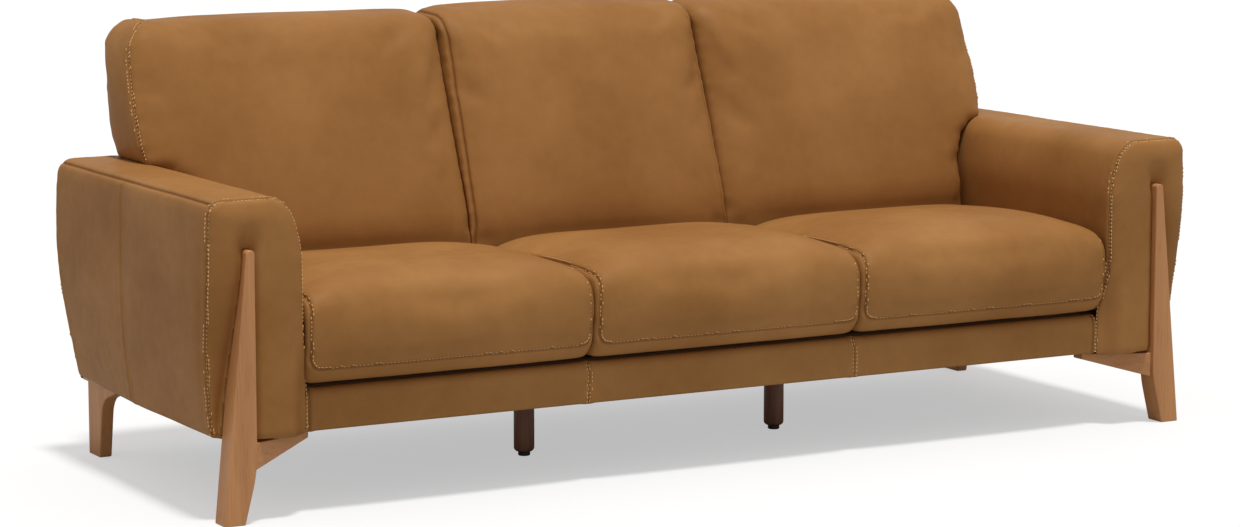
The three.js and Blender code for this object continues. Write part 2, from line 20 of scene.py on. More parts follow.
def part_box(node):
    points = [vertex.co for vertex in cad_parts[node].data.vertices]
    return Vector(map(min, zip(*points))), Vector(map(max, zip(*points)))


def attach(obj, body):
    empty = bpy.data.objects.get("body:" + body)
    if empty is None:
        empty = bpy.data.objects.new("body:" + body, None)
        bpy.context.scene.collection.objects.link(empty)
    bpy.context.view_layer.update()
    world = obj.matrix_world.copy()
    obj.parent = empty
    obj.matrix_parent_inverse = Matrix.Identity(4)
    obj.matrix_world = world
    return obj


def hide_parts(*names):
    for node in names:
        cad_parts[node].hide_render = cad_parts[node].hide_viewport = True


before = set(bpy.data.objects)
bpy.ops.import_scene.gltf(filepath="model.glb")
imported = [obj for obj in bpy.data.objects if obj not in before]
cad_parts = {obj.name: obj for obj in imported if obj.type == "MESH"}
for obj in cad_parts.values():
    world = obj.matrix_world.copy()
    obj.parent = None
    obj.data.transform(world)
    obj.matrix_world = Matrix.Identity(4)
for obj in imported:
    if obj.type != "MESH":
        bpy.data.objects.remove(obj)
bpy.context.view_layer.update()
scene = bpy.context.scene

# %% [markdown]
# Three planes steer nearly everything: the face of the arms, the inner side of the arms and the
# top of the deck that the cushions lie on. `SIDES` lets one function make a left and a right piece.
# `TOUCH_GAP` is the hair's breadth left between pieces that press against each other.

# %% Planes of the sofa
SIDES = {"left": -1, "right": 1}
PLACES = ("left", "middle", "right")
TOUCH_GAP = 0.0008
panel_low, panel_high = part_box("arm_front_panel_right")
FRONT = panel_low.y
ARM_TOP = panel_high.z
ARM_OUTER = panel_high.x
UNDERSIDE = panel_low.z
LIP = panel_low.x
ARM_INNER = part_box("arm_inner_panel_right")[0].x
ARM_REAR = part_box("arm_rear_panel_right")[1].y
FRAME_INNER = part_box("arm_front_post_right")[0].x
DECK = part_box("seat_deck")[1].z
print(f"arms {ARM_INNER:.3f} to {ARM_OUTER:.3f} m out, {ARM_TOP:.3f} m high, deck at {DECK:.3f} m")

# %% [markdown]
# ## Camera, floor and light
#
# A long lens from the left keeps the seat lines nearly parallel. The floor is a plain pale sheet
# and the light is soft: a bright room and one wide key, high up and a little in front. It lights
# the tops most, the fronts less and the sides least, and keeps the shadow under the sofa. The key
# is a sun because its light doesn't fade over a floor that reaches far behind the sofa.

# %% Camera
camera_data = bpy.data.cameras.new("studio_camera")
camera_data.sensor_width = 36
camera_data.lens = 104.4
camera = bpy.data.objects.new("studio_camera", camera_data)
camera.location = (-3.53, FRONT - 5.91, 1.392)
camera.rotation_euler = (math.radians(90 - 8.18), 0, math.radians(-29.07))
scene.collection.objects.link(camera)
scene.camera = camera
print("camera at", [round(value, 2) for value in camera.location])


# %% Lights
def soft_sun(name, strength, spread, azimuth, height):
    """A sun that shines from an azimuth (0 is the front, 90 the right) and a height in degrees."""
    data = bpy.data.lights.new(name, "SUN")
    data.energy = strength
    data.angle = math.radians(spread)
    sun = bpy.data.objects.new(name, data)
    turn, lift = math.radians(azimuth), math.radians(height)
    toward = Vector((math.sin(turn) * math.cos(lift), -math.cos(turn) * math.cos(lift), math.sin(lift)))
    sun.rotation_euler = toward.to_track_quat("Z", "Y").to_euler()
    scene.collection.objects.link(sun)
    print(name, strength, "from", azimuth, "degrees,", height, "degrees up")


soft_sun("key_from_above", 2.1, 7, 0, 80)
world = bpy.data.worlds.new("bright_room")
world.use_nodes = True
world.node_tree.nodes["Background"].inputs["Color"].default_value = (1, 1, 1, 1)
world.node_tree.nodes["Background"].inputs["Strength"].default_value = 0.42
scene.world = world
scene.view_settings.view_transform = "Standard"

# %% [markdown]
# ## Making meshes
#
# A few helpers carry the whole lesson. An outline starts as one face through its sharp corners,
# and `bmesh.ops.bevel` rounds each corner by its own radius. Extruding that face gives a block.
# A soft piece is then remeshed into small even squares, so that the surface can be moved freely
# wherever the stuffing or a seam pulls it.

# %% Outlines and blocks
ROUND = {"profile": 0.5, "material": -1, "clamp_overlap": True}


def seen_front(sign, y):
    """Puts an outline of (out, up) corners in an upright plane across the sofa; sign -1 mirrors it."""
    return lambda a, b: (sign * a, y, b)


def seen_side(x):
    """Puts an outline of (back, up) corners in an upright plane from front to back."""
    return lambda a, b: (x, a, b)


def rounded_face(bm, corners, place):
    """One face through corners (a, b, radius), each rounded; place(a, b) gives the point."""
    verts = [bm.verts.new(place(a, b)) for a, b, _ in corners]
    bm.faces.new(verts)
    for vert, (_, _, radius) in zip(verts, corners):
        if radius:
            bmesh.ops.bevel(bm, geom=[vert], offset=radius, segments=6, affect="VERTICES", **ROUND)
    return bm.faces[:][0]


def rounded_line(corners, place):
    """The outline's points in order, from its first corner to its last, which both stay sharp."""
    bm = bmesh.new()
    points = [loop.vert.co.copy() for loop in rounded_face(bm, corners, place).loops]
    bm.free()
    first, last = Vector(place(*corners[0][:2])), Vector(place(*corners[-1][:2]))
    start = min(range(len(points)), key=lambda i: (points[i] - first).length)
    points = points[start:] + points[:start]
    if (points[1] - last).length < 1e-6:
        points = points[:1] + points[:0:-1]
    return points


def block(bm, corners, place, depth):
    """A rounded face and the closed block that it sweeps through depth."""
    face = rounded_face(bm, corners, place)
    swept = bmesh.ops.extrude_face_region(bm, geom=[face])["geom"]
    moved = [part for part in swept if isinstance(part, bmesh.types.BMVert)]
    bmesh.ops.translate(bm, verts=moved, vec=depth)
    bmesh.ops.recalc_face_normals(bm, faces=bm.faces[:])


def as_object(bm, name):
    """A smooth-shaded piece in the scene, made from a bmesh that it uses up."""
    mesh = bpy.data.meshes.new(name)
    bm.to_mesh(mesh)
    bm.free()
    mesh.shade_smooth()
    piece = bpy.data.objects.new(name, mesh)
    scene.collection.objects.link(piece)
    return piece


def settle(piece):
    """Turns a piece's modifiers into its mesh."""
    shown = piece.evaluated_get(bpy.context.evaluated_depsgraph_get())
    made = bpy.data.meshes.new_from_object(shown)
    piece.modifiers.clear()
    piece.data = made
    made.shade_smooth()


# %% Remeshing and smoothing
def remeshed(piece, voxel, rounds):
    """Rebuilds a piece from small even squares and rounds its edges by smoothing."""
    grid = piece.modifiers.new("even squares", "REMESH")
    grid.mode = "VOXEL"
    grid.voxel_size = voxel
    settle(piece)
    smoothed(piece, rounds)


def smoothed(piece, rounds):
    """Moves every point towards its neighbours, a number of times."""
    bm = bmesh.new()
    bm.from_mesh(piece.data)
    every_way = {"use_axis_x": True, "use_axis_y": True, "use_axis_z": True}
    for _ in range(rounds):
        bmesh.ops.smooth_vert(bm, verts=bm.verts, factor=0.5, **every_way)
    bm.to_mesh(piece.data)
    bm.free()


def subdivided(piece):
    """Cuts each square into four and rounds the piece."""
    smoother = piece.modifiers.new("rounder squares", "SUBSURF")
    smoother.levels = 1
    smoother.render_levels = 1
    settle(piece)


def rows_of(values, key):
    """A mesh's points or normals as rows of x, y and z."""
    flat = np.empty(len(values) * 3)
    values.foreach_get(key, flat)
    return flat.reshape(-1, 3)


def places_of(piece):
    return rows_of(piece.data.vertices, "co")


def normals_of(piece):
    return rows_of(piece.data.vertex_normals, "vector")


def move_to(piece, places):
    piece.data.vertices.foreach_set("co", places.ravel())
    piece.data.update()


def ramp(value, start, end):
    """0 before start and 1 past end, with a soft turn at both."""
    share = np.clip((value - start) / (end - start), 0, 1)
    return share * share * (3 - 2 * share)


def ripple(places, scale, seed):
    """Slow unevenness, from -1 to 1, that is the same each time."""
    shift = Vector((seed, 3.7 * seed, 1.9 * seed))
    return np.array([noise.noise(Vector(place) * scale + shift) for place in places])


# %% [markdown]
# ## Seams and stitching
#
# A sewn seam is a narrow valley: two edges of leather turn in and are stitched down on one or both
# sides. The piece gets finer squares along the seam first, then a groove whose depth falls off
# within a few millimetres. The same distance is kept in an attribute, `seam_shade`, which the
# leather's material reads to darken the valley. The thread is real geometry: one small long bead
# for each stitch, laid on the finished surface. A bead has only twenty faces, because a sofa has
# thousands of stitches.

# %% Seam helpers
GROOVE_WIDTH = 0.0024
STITCH_LENGTH = 0.0064
STITCH_PITCH = 0.0078
THREAD_RADIUS = 0.0011
ROW = 0.0052
SEAM_STEP = 0.0015
BATCH = 60


def evenly(points, step):
    """Points at even steps along a line."""
    spaced, left = [points[0].copy()], step
    for start, end in zip(points, points[1:]):
        length = (end - start).length
        while left <= length:
            spaced.append(start.lerp(end, left / length))
            left += step
        left -= length
    return spaced


def tree_of(points):
    """The points sorted so that the nearest one is found quickly."""
    tree = KDTree(len(points))
    for index, point in enumerate(points):
        tree.insert(point, index)
    tree.balance()
    return tree


def distances(places, points):
    """How far each place is from the nearest of the points."""
    tree = tree_of(points)
    return np.array([tree.find(place)[2] for place in places])


def surface_of(piece):
    return BVHTree.FromObject(piece, bpy.context.evaluated_depsgraph_get())


def onto(piece, seam):
    """A seam's points moved to the piece's surface."""
    surface = surface_of(piece)
    return evenly([surface.find_nearest(point)[0] for point in evenly(seam, 0.004)], SEAM_STEP)


def finer_along(piece, points, reach, cuts):
    """Cuts the squares near the points into smaller ones."""
    near = distances(places_of(piece), points) < reach
    bm = bmesh.new()
    bm.from_mesh(piece.data)
    bm.verts.ensure_lookup_table()
    edges = [edge for edge in bm.edges if near[edge.verts[0].index] and near[edge.verts[1].index]]
    bmesh.ops.subdivide_edges(bm, edges=edges, cuts=cuts, use_grid_fill=True)
    bm.to_mesh(piece.data)
    bm.free()


def sew(piece, seams, depth=0.0036, cuts=2, pucker=0.0006):
    """Presses every seam into the piece and returns the seams as they lie on its surface."""
    laid = [onto(piece, seam) for seam in seams]
    points = [point for seam in laid for point in seam]
    finer_along(piece, points, 0.009, cuts)
    places = places_of(piece)
    away = distances(places, points)
    lift = 0.0011 * np.exp(-(((away - 0.0085) / 0.005) ** 2)) - depth * np.exp(-((away / GROOVE_WIDTH) ** 2))
    close = away < 0.03
    lift[close] += pucker * ripple(places[close], 62, 5) * np.exp(-(((away[close] - 0.01) / 0.008) ** 2))
    move_to(piece, places + normals_of(piece) * lift[:, None])
    # seam_shade marks the groove where the leather's material paints shade
    shade = piece.data.attributes.new("seam_shade", "FLOAT", "POINT")
    shade.data.foreach_set("value", np.exp(-((away / (1.3 * GROOVE_WIDTH)) ** 2)).astype(np.float32))
    return laid


def stitched(piece, name, rows):
    """Thread beads on a piece; rows are (seam, distance beside it) pairs."""
    surface = surface_of(piece)
    beads, batch, count = bmesh.new(), bmesh.new(), 0
    for seam, beside in rows:
        for start, end in zip(*[iter(evenly(seam, STITCH_PITCH / 2))] * 2):
            on_seam, normal, _, _ = surface.find_nearest((start + end) / 2)
            along = (end - start).normalized()
            spot, normal, _, _ = surface.find_nearest(on_seam + normal.cross(along) * beside)
            across = normal.cross(along).normalized()
            along = across.cross(normal).normalized()
            turn = Matrix((along, across, normal)).transposed().to_4x4()
            size = Matrix.Diagonal((STITCH_LENGTH / 2, THREAD_RADIUS, THREAD_RADIUS, 1))
            place = Matrix.Translation(spot + normal * THREAD_RADIUS * 0.3)
            bmesh.ops.create_icosphere(batch, subdivisions=1, radius=1, matrix=place @ turn @ size)
            count += 1
            if count % BATCH == 0:
                pour(batch, beads)
                batch = bmesh.new()
    pour(batch, beads)
    thread = as_object(beads, name)
    print(name, count, "stitches")
    return thread


def pour(batch, whole):
    """Adds a small mesh to a large one, which is quicker than growing the large one face by face."""
    mesh = bpy.data.meshes.new("batch")
    batch.to_mesh(mesh)
    batch.free()
    whole.from_mesh(mesh)
    bpy.data.meshes.remove(mesh)


# %% [markdown]
# ## Finishes
#
# Effects that several materials share are node groups with named sockets, which put out only a
# colour, a roughness and a height. The Principled BSDF and the Bump node stay in each material.
# All patterns read Object coordinates, so they keep their real size in metres on every piece.

# %% Node helpers
def add_node(tree, kind, inputs=None, **settings):
    """A shader node; an input may be a value or another node's socket."""
    made = tree.nodes.new("ShaderNode" + kind)
    for key, value in settings.items():
        setattr(made, key, value)
    for name, value in (inputs or {}).items():
        socket = next(end for end in made.inputs if end.enabled and name in (end.identifier, end.name))
        if isinstance(value, bpy.types.NodeSocket):
            tree.links.new(value, socket)
        else:
            socket.default_value = value
    return made


def mixed(tree, mask, first, second, blend="MIX"):
    """The first colour where the mask is 0 and the second where it is 1."""
    inputs = {"Factor_Float": mask, "A_Color": first, "B_Color": second}
    made = add_node(tree, "Mix", inputs, data_type="RGBA", blend_type=blend)
    return next(socket for socket in made.outputs if socket.identifier == "Result_Color")


def darker(tree, colour, by):
    """A colour multiplied by another one."""
    return mixed(tree, 1.0, colour, by, "MULTIPLY")


def spread(tree, value, low, high, to_low=0.0, to_high=1.0):
    """A value stretched from one range to another and kept inside it."""
    inputs = {"Value": value, "From Min": low, "From Max": high, "To Min": to_low, "To Max": to_high}
    return add_node(tree, "MapRange", inputs).outputs["Result"]


def new_group(name, inputs, outputs):
    """A shader node group with its ends; inputs are (name, socket kind, value)."""
    tree = bpy.data.node_groups.new(name, "ShaderNodeTree")
    for label, kind, value in inputs:
        tree.interface.new_socket(label, in_out="INPUT", socket_type=kind).default_value = value
    for label, kind in outputs:
        tree.interface.new_socket(label, in_out="OUTPUT", socket_type=kind)
    return tree, tree.nodes.new("NodeGroupInput").outputs, tree.nodes.new("NodeGroupOutput").inputs


SURFACE = [("Color", "NodeSocketColor"), ("Roughness", "NodeSocketFloat"), ("Height", "NodeSocketFloat")]
WHITE = (1, 1, 1, 1)

# %% [markdown]
# ** Leather.** Finished hide is never one colour: slow clouds of lighter and darker tan, finer
# flecks, and pebbles a little over a millimetre across. Seam valleys get painted shade.

# %% Leather group
leather, given, result = new_group("hide", [
    ("Light tone", "NodeSocketColor", WHITE), ("Dark tone", "NodeSocketColor", WHITE),
    ("Clouds", "NodeSocketFloat", 3.0), ("Pebbles", "NodeSocketFloat", 500.0)], SURFACE)
spot = add_node(leather, "TexCoord").outputs["Object"]
clouds = add_node(leather, "TexNoise", {"Vector": spot, "Scale": given["Clouds"], "Detail": 5.0,
                                        "Roughness": 0.55})
flecks = add_node(leather, "TexNoise", {"Vector": spot, "Scale": 38.0, "Detail": 4.0, "Roughness": 0.6})
pebbles = add_node(leather, "TexVoronoi", {"Vector": spot, "Scale": given["Pebbles"]},
                   feature="DISTANCE_TO_EDGE")
tone = mixed(leather, spread(leather, clouds.outputs["Fac"], 0.34, 0.68), given["Dark tone"],
             given["Light tone"])
flecked = mixed(leather, spread(leather, flecks.outputs["Fac"], 0.35, 0.7, 0.0, 0.22), tone,
                darker(leather, tone, (0.72, 0.68, 0.62, 1)))
# Painted shade: the colour is darkened in seam valleys, where seam_shade is high
valley = add_node(leather, "Attribute", attribute_name="seam_shade").outputs["Fac"]
shaded = mixed(leather, spread(leather, valley, 0.1, 1.0, 0.0, 0.45), flecked,
               darker(leather, flecked, (0.42, 0.36, 0.3, 1)))
leather.links.new(shaded, result["Color"])
leather.links.new(spread(leather, flecks.outputs["Fac"], 0.3, 0.7, 0.4, 0.5), result["Roughness"])
leather.links.new(spread(leather, pebbles.outputs["Distance"], 0.0, 0.28), result["Height"])
print("group", leather.name, "with", len(leather.nodes), "nodes")

# %% [markdown]
# **Wood.** Grain is noise drawn out along the length of the piece: wide soft bands for the growth
# rings and short fine dashes for the pores. A Mapping node in each material says which way the
# length runs, so legs, rails and posts share one group.

# %% Wood group
wood, given, result = new_group("wood grain", [
    ("Place", "NodeSocketVector", (0, 0, 0)), ("Light tone", "NodeSocketColor", WHITE),
    ("Dark tone", "NodeSocketColor", WHITE), ("Bands", "NodeSocketFloat", 22.0)], SURFACE)
bands = add_node(wood, "TexNoise", {"Vector": given["Place"], "Scale": given["Bands"], "Detail": 4.0,
                                    "Roughness": 0.5, "Distortion": 0.4})
dashes = add_node(wood, "TexNoise", {"Vector": given["Place"], "Scale": 260.0, "Detail": 3.0,
                                     "Roughness": 0.65})
tone = mixed(wood, spread(wood, bands.outputs["Fac"], 0.36, 0.64), given["Dark tone"], given["Light tone"])
dashed = mixed(wood, spread(wood, dashes.outputs["Fac"], 0.5, 0.72, 0.0, 0.5), tone,
               darker(wood, tone, (0.66, 0.58, 0.5, 1)))
wood.links.new(dashed, result["Color"])
wood.links.new(spread(wood, bands.outputs["Fac"], 0.3, 0.7, 0.5, 0.4), result["Roughness"])
wood.links.new(spread(wood, dashes.outputs["Fac"], 0.4, 0.75, 1.0, 0.0), result["Height"])
print("group", wood.name, "with", len(wood.nodes), "nodes")

# %% [markdown]
# **Weave.** Two sets of bands at right angles, one for each direction of thread, with a little
# unevenness between threads. Deck cloth, dust cover, webbing and sewing thread all use it.

# %% Weave group
weave, given, result = new_group("weave", [
    ("Tone", "NodeSocketColor", WHITE), ("Threads", "NodeSocketFloat", 300.0)], SURFACE)
spot = add_node(weave, "TexCoord").outputs["Object"]
warp = add_node(weave, "TexWave", {"Vector": spot, "Scale": given["Threads"]}, bands_direction="X")
weft = add_node(weave, "TexWave", {"Vector": spot, "Scale": given["Threads"]}, bands_direction="Y")
both = add_node(weave, "Math", {"Value": warp.outputs["Fac"], "Value_001": weft.outputs["Fac"]},
                operation="MAXIMUM")
uneven = add_node(weave, "TexNoise", {"Vector": spot, "Scale": 90.0, "Detail": 3.0})
raised = mixed(weave, spread(weave, both.outputs[0], 0.0, 1.0, 0.55, 0.0), given["Tone"],
               darker(weave, given["Tone"], (0.45, 0.45, 0.45, 1)))
faded = mixed(weave, spread(weave, uneven.outputs["Fac"], 0.3, 0.7, 0.0, 0.3), raised,
              darker(weave, raised, (0.7, 0.7, 0.7, 1)))
weave.links.new(faded, result["Color"])
weave.links.new(spread(weave, uneven.outputs["Fac"], 0.3, 0.7, 0.8, 0.95), result["Roughness"])
weave.links.new(both.outputs[0], result["Height"])
print("group", weave.name, "with", len(weave.nodes), "nodes")

# %% [markdown]
# **Worn surface.** Steel and plastic have one even tone; what shows is fine wear, which changes the
# gloss more than the colour.

# %% Worn surface group
worn, given, result = new_group("worn surface", [
    ("Tone", "NodeSocketColor", WHITE), ("Scale", "NodeSocketFloat", 300.0)], SURFACE)
spot = add_node(worn, "TexCoord").outputs["Object"]
wear = add_node(worn, "TexNoise", {"Vector": spot, "Scale": given["Scale"], "Detail": 3.0}).outputs["Fac"]
dulled = darker(worn, given["Tone"], (0.75, 0.75, 0.75, 1))
worn.links.new(mixed(worn, spread(worn, wear, 0.45, 0.7), given["Tone"], dulled), result["Color"])
worn.links.new(spread(worn, wear, 0.3, 0.7, 0.32, 0.5), result["Roughness"])
worn.links.new(wear, result["Height"])
print("group", worn.name, "with", len(worn.nodes), "nodes")

# %% [markdown]
# Each finish of the record gets its material here. Constant values, such as the specular level, are
# set on the shader itself.

# %% Materials
def material(name, group, values, bump, distance, turned=None, **shader):
    """A material from a surface group; turned says how wood's length runs."""
    made = bpy.data.materials.new(name)
    made.use_nodes = True
    tree = made.node_tree
    surface = tree.nodes.new("ShaderNodeGroup")
    surface.node_tree = group
    for socket, value in values.items():
        surface.inputs[socket].default_value = value
    if turned:
        spot = add_node(tree, "TexCoord").outputs["Object"]
        grain = add_node(tree, "Mapping", {"Vector": spot, "Rotation": turned[0], "Scale": turned[1]})
        tree.links.new(grain.outputs["Vector"], surface.inputs["Place"])
    height = surface.outputs["Height"]
    relief = add_node(tree, "Bump", {"Height": height, "Strength": bump, "Distance": distance})
    principled = tree.nodes["Principled BSDF"]
    tree.links.new(surface.outputs["Color"], principled.inputs["Base Color"])
    tree.links.new(surface.outputs["Roughness"], principled.inputs["Roughness"])
    tree.links.new(relief.outputs["Normal"], principled.inputs["Normal"])
    for socket, value in shader.items():
        principled.inputs[socket.replace("_", " ")].default_value = value
    return made


def wooden(name, light, dark, along, bands=22.0, **shader):
    """Wood whose length runs along x, y or z."""
    scale = [1.0, 1.0, 1.0]
    scale["xyz".index(along)] = 0.05
    values = {"Light tone": (*light, 1), "Dark tone": (*dark, 1), "Bands": bands}
    return material(name, wood, values, 0.25, 0.0004, ((0, 0, 0), scale), **shader)


TAN = material("tan_leather", leather, {
    "Light tone": (0.45, 0.215, 0.07, 1), "Dark tone": (0.345, 0.153, 0.044, 1), "Clouds": 3.2,
    "Pebbles": 520.0}, 0.2, 0.0005, Specular_IOR_Level=0.07)
THREAD = material("tan_thread", weave, {"Tone": (0.92, 0.57, 0.25, 1), "Threads": 900.0}, 0.3, 0.0003)
BEECH = {way: wooden(f"oiled_beech_{way}", (0.64, 0.295, 0.108), (0.53, 0.23, 0.08), way) for way in "xz"}
WALNUT = wooden("walnut_stained_wood", (0.36, 0.155, 0.08), (0.25, 0.1, 0.05), "z", 30.0)
PINE_TONES = (0.62, 0.43, 0.24), (0.5, 0.32, 0.16)
TIMBER = {way: wooden(f"frame_timber_{way}", *PINE_TONES, way, 16.0) for way in "xyz"}
WEBBING = material("webbing", weave, {"Tone": (0.05, 0.045, 0.04, 1), "Threads": 190.0}, 0.6, 0.0006)
DECK_CLOTH = material("deck_cloth", weave, {"Tone": (0.14, 0.075, 0.035, 1), "Threads": 320.0}, 0.5, 0.0004)
DUST_CLOTH = material("black_cloth", weave, {"Tone": (0.02, 0.02, 0.02, 1), "Threads": 420.0}, 0.4, 0.0003)
STEEL = material("steel", worn, {"Tone": (0.5, 0.51, 0.53, 1), "Scale": 260.0}, 0.1, 0.0002, Metallic=1.0)
PLASTIC = material("black_plastic", worn, {"Tone": (0.018, 0.018, 0.018, 1), "Scale": 480.0}, 0.1, 0.0002)
print(len(bpy.data.materials), "materials")


# %% Handing a piece over
def hand_over(piece, finish, body, stands_for=()):
    """Gives a finished piece its material, its body and the plain nodes it stands for."""
    piece.data.materials.clear()
    piece.data.materials.append(finish)
    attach(piece, body)
    if stands_for:
        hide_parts(*stands_for)
    print(piece.name, len(piece.data.polygons), "faces on", body)
    return piece


# %% [markdown]
# ## The frame's own nodes
#
# Timber, webbing and bolts already have their real shape, so they only get a finish. The grain
# runs along each board.

# %% Dress the frame
ALONG = {
    "x": ("front_rail", "rear_rail", "back_top_rail", "corner_block"),
    "y": ("side_rail", "cross_rail", "arm_top_rail"),
    "z": ("arm_front_post", "arm_rear_post", "back_upright"),
}
finish_of = {start: TIMBER[way] for way, starts in ALONG.items() for start in starts}
finish_of.update({"seat_webbing": WEBBING, "back_webbing": WEBBING})
for name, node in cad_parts.items():
    finish = next((finish for start, finish in finish_of.items() if name.startswith(start)), None)
    if "bolt" in name:
        finish = STEEL
    if finish:
        node.data.materials.clear()
        node.data.materials.append(finish)

# %% [markdown]
# ## Legs
#
# A front leg is one board: a thin blade let into the arm that widens into a foot and leans
# outward. Its edges are eased by hand, so every edge gets a small bevel. A wedge beside it runs
# back under the front rail. The flat faces stay flat because the normals are weighted by area.

# %% Boards
def eased(piece, width):
    """Rounds a board's edges and keeps its faces flat."""
    bevel = piece.modifiers.new("eased edges", "BEVEL")
    bevel.width = width
    bevel.segments = 3
    bevel.limit_method = "ANGLE"
    bevel.angle_limit = math.radians(25)
    piece.modifiers.new("flat faces", "WEIGHTED_NORMAL").keep_sharp = True


leg_low, leg_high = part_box("front_leg_right")
BLADE = leg_low.x
TIP_WIDTH = 0.016
FOOT_WIDTH = 0.041
KNEE = 0.098
LEG_CORNERS = [
    (BLADE, leg_high.z, 0.007),
    (BLADE + TIP_WIDTH, leg_high.z, 0.007),
    (leg_high.x, 0, 0),
    (leg_high.x - FOOT_WIDTH, 0, 0),
    (BLADE, KNEE, 0.03),
]
for side, sign in SIDES.items():
    bm = bmesh.new()
    block(bm, LEG_CORNERS, seen_front(sign, leg_low.y), (0, leg_high.y - leg_low.y, 0))
    leg = as_object(bm, f"front_leg_board_{side}")
    eased(leg, 0.0022)
    hand_over(leg, BEECH["z"], "frame", [f"front_leg_{side}"])

    low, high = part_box(f"front_bracket_{side}")
    near, far = (low.x, high.x) if sign < 0 else (high.x, low.x)
    sweep = (high.y - low.y - 0.03) / (near - far)
    wedge = [(near, high.z, 0), (near, low.z, 0), (far, high.z - 0.012, 0), (far, high.z, 0)]
    bm = bmesh.new()
    block(bm, wedge, lambda a, b: (a, low.y + (near - a) * sweep, b), (0, 0.03, 0))
    bracket = as_object(bm, f"front_wedge_{side}")
    eased(bracket, 0.002)
    hand_over(bracket, BEECH["x"], "frame", [f"front_bracket_{side}"])

# %% [markdown]
# A rear leg is a thinner board seen from the side: straight at the back, with a hollow curve in
# front where it flares to reach along the side rail.

# %% Rear legs
for side, sign in SIDES.items():
    low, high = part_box(f"rear_leg_{side}")
    profile = [
        (high.y, 0, 0.003), (high.y, high.z, 0), (low.y, high.z, 0), (low.y, high.z - 0.008, 0.003),
        (high.y - 0.078, high.z - 0.034, 0.026), (high.y - 0.058, 0, 0.003),
    ]
    bm = bmesh.new()
    block(bm, profile, seen_side(low.x), (high.x - low.x, 0, 0))
    leg = as_object(bm, f"rear_leg_board_{side}")
    eased(leg, 0.004)
    hand_over(leg, BEECH["z"], "frame", [f"rear_leg_{side}"])

# %% [markdown]
# The middle of the sofa stands on two turned legs of darker wood with black glides nailed on. A
# turned piece is a profile spun once round its axis.

# %% Centre legs
def spun(profile, axis, name):
    """A turned piece from (radius, height) points on an upright axis."""
    bm = bmesh.new()
    verts = [bm.verts.new((axis[0] + radius, axis[1], height)) for radius, height in profile]
    for start, end in zip(verts, verts[1:]):
        bm.edges.new((start, end))
    bmesh.ops.spin(bm, geom=bm.verts[:] + bm.edges[:], cent=(*axis, 0), axis=(0, 0, 1),
                   angle=math.tau, steps=40, use_merge=True)
    bmesh.ops.remove_doubles(bm, verts=bm.verts, dist=1e-6)
    bmesh.ops.recalc_face_normals(bm, faces=bm.faces)
    return as_object(bm, name)


def quarter(radius_in, radius_out, height):
    """Points round the lower end of a turned leg, from the glide out to its side."""
    bend = radius_out - radius_in
    turns = [step * math.pi / 12 for step in range(7)]
    return [(radius_in + bend * math.sin(turn), height + bend * (1 - math.cos(turn))) for turn in turns]


for side in SIDES:
    low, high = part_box(f"centre_leg_{side}")
    axis = ((low.x + high.x) / 2, (low.y + high.y) / 2)
    radius, glide = (high.x - low.x) / 2, 0.012
    leg = [(0, low.z), *quarter(glide, radius, low.z),
           (radius, high.z - 0.001), (radius - 0.001, high.z), (0, high.z)]
    hand_over(spun(leg, axis, f"centre_leg_turned_{side}"), WALNUT, "frame",
              [f"centre_leg_{side}"])
    foot = [(0, 0), (glide - 0.002, 0), (glide - 0.0006, 0.0006), (glide, 0.002),
            (glide, low.z - 0.0014), (glide - 0.001, low.z - 0.0004), (0, low.z - 0.0004)]
    hand_over(spun(foot, axis, f"glide_{side}"), PLASTIC, "frame",
              [f"centre_leg_glide_{side}"])

# %% [markdown]
# ## Leather arms
#
# An arm is timber wrapped in padding and leather: a front panel that the leg's blade is let into,
# an outer side in two pieces, a top that rolls over to the inner side, and a rear end. It is made
# as one skin. The block is remeshed, then moved by simple rules: the front panel swells away from
# its seam, the leather beside the blade is pressed in, and the outer side bellies a little between
# its seams.

# %% Arm outline
ARM_CORNERS = [
    (ARM_OUTER - 0.023, UNDERSIDE + 0.005, 0.012),
    (ARM_OUTER - 0.012, UNDERSIDE + 0.084, 0.06),
    (ARM_OUTER - 0.004, UNDERSIDE + 0.293, 0.12),
    (ARM_OUTER - 0.011, ARM_TOP - 0.003, 0.027),
    (ARM_INNER + 0.036, ARM_TOP - 0.003, 0.034),
    (ARM_INNER + 0.002, ARM_TOP - 0.078, 0.05),
    (ARM_INNER + 0.002, DECK + 0.001, 0),
    (FRAME_INNER + 0.002, DECK + 0.001, 0),
    (FRAME_INNER + 0.002, UNDERSIDE + 0.004, 0),
]
LIP_CORNERS = [
    (LIP + 0.001, UNDERSIDE + 0.001, 0.004),
    (LIP + 0.001, DECK - 0.006, 0.01),
    (ARM_INNER - 0.003, DECK + 0.05, 0.03),
    (ARM_INNER + 0.003, DECK + 0.11, 0),
    (FRAME_INNER + 0.01, DECK + 0.11, 0),
    (FRAME_INNER + 0.03, UNDERSIDE + 0.001, 0),
]
REAR_LIP_CORNERS = [
    (ARM_INNER + 0.0005, UNDERSIDE + 0.005, 0.004),
    (ARM_INNER + 0.0005, DECK + 0.1, 0),
    (FRAME_INNER + 0.03, DECK + 0.1, 0),
    (FRAME_INNER + 0.03, UNDERSIDE + 0.005, 0),
]
PANEL_SEAM = [
    (ARM_OUTER - 0.023, UNDERSIDE + 0.01, 0),
    *ARM_CORNERS[1:6],
    (ARM_INNER + 0.002, DECK + 0.1, 0.03),
    (LIP + 0.002, DECK - 0.004, 0.01),
    (LIP + 0.002, UNDERSIDE + 0.006, 0),
]
LIP_DEPTH = 0.0185
PANEL_SWELL = 0.0195
SKIN_SQUARE = 0.0045
SIDE_SEAM = FRONT + 0.415
ARM_SEAM_DROP = 0.0105


# %% Arm leather
def blade_edge(height):
    """Where the blade's outer edge is at a height."""
    return BLADE + TIP_WIDTH + (leg_high.z - height) * (leg_high.x - BLADE - TIP_WIDTH) / leg_high.z


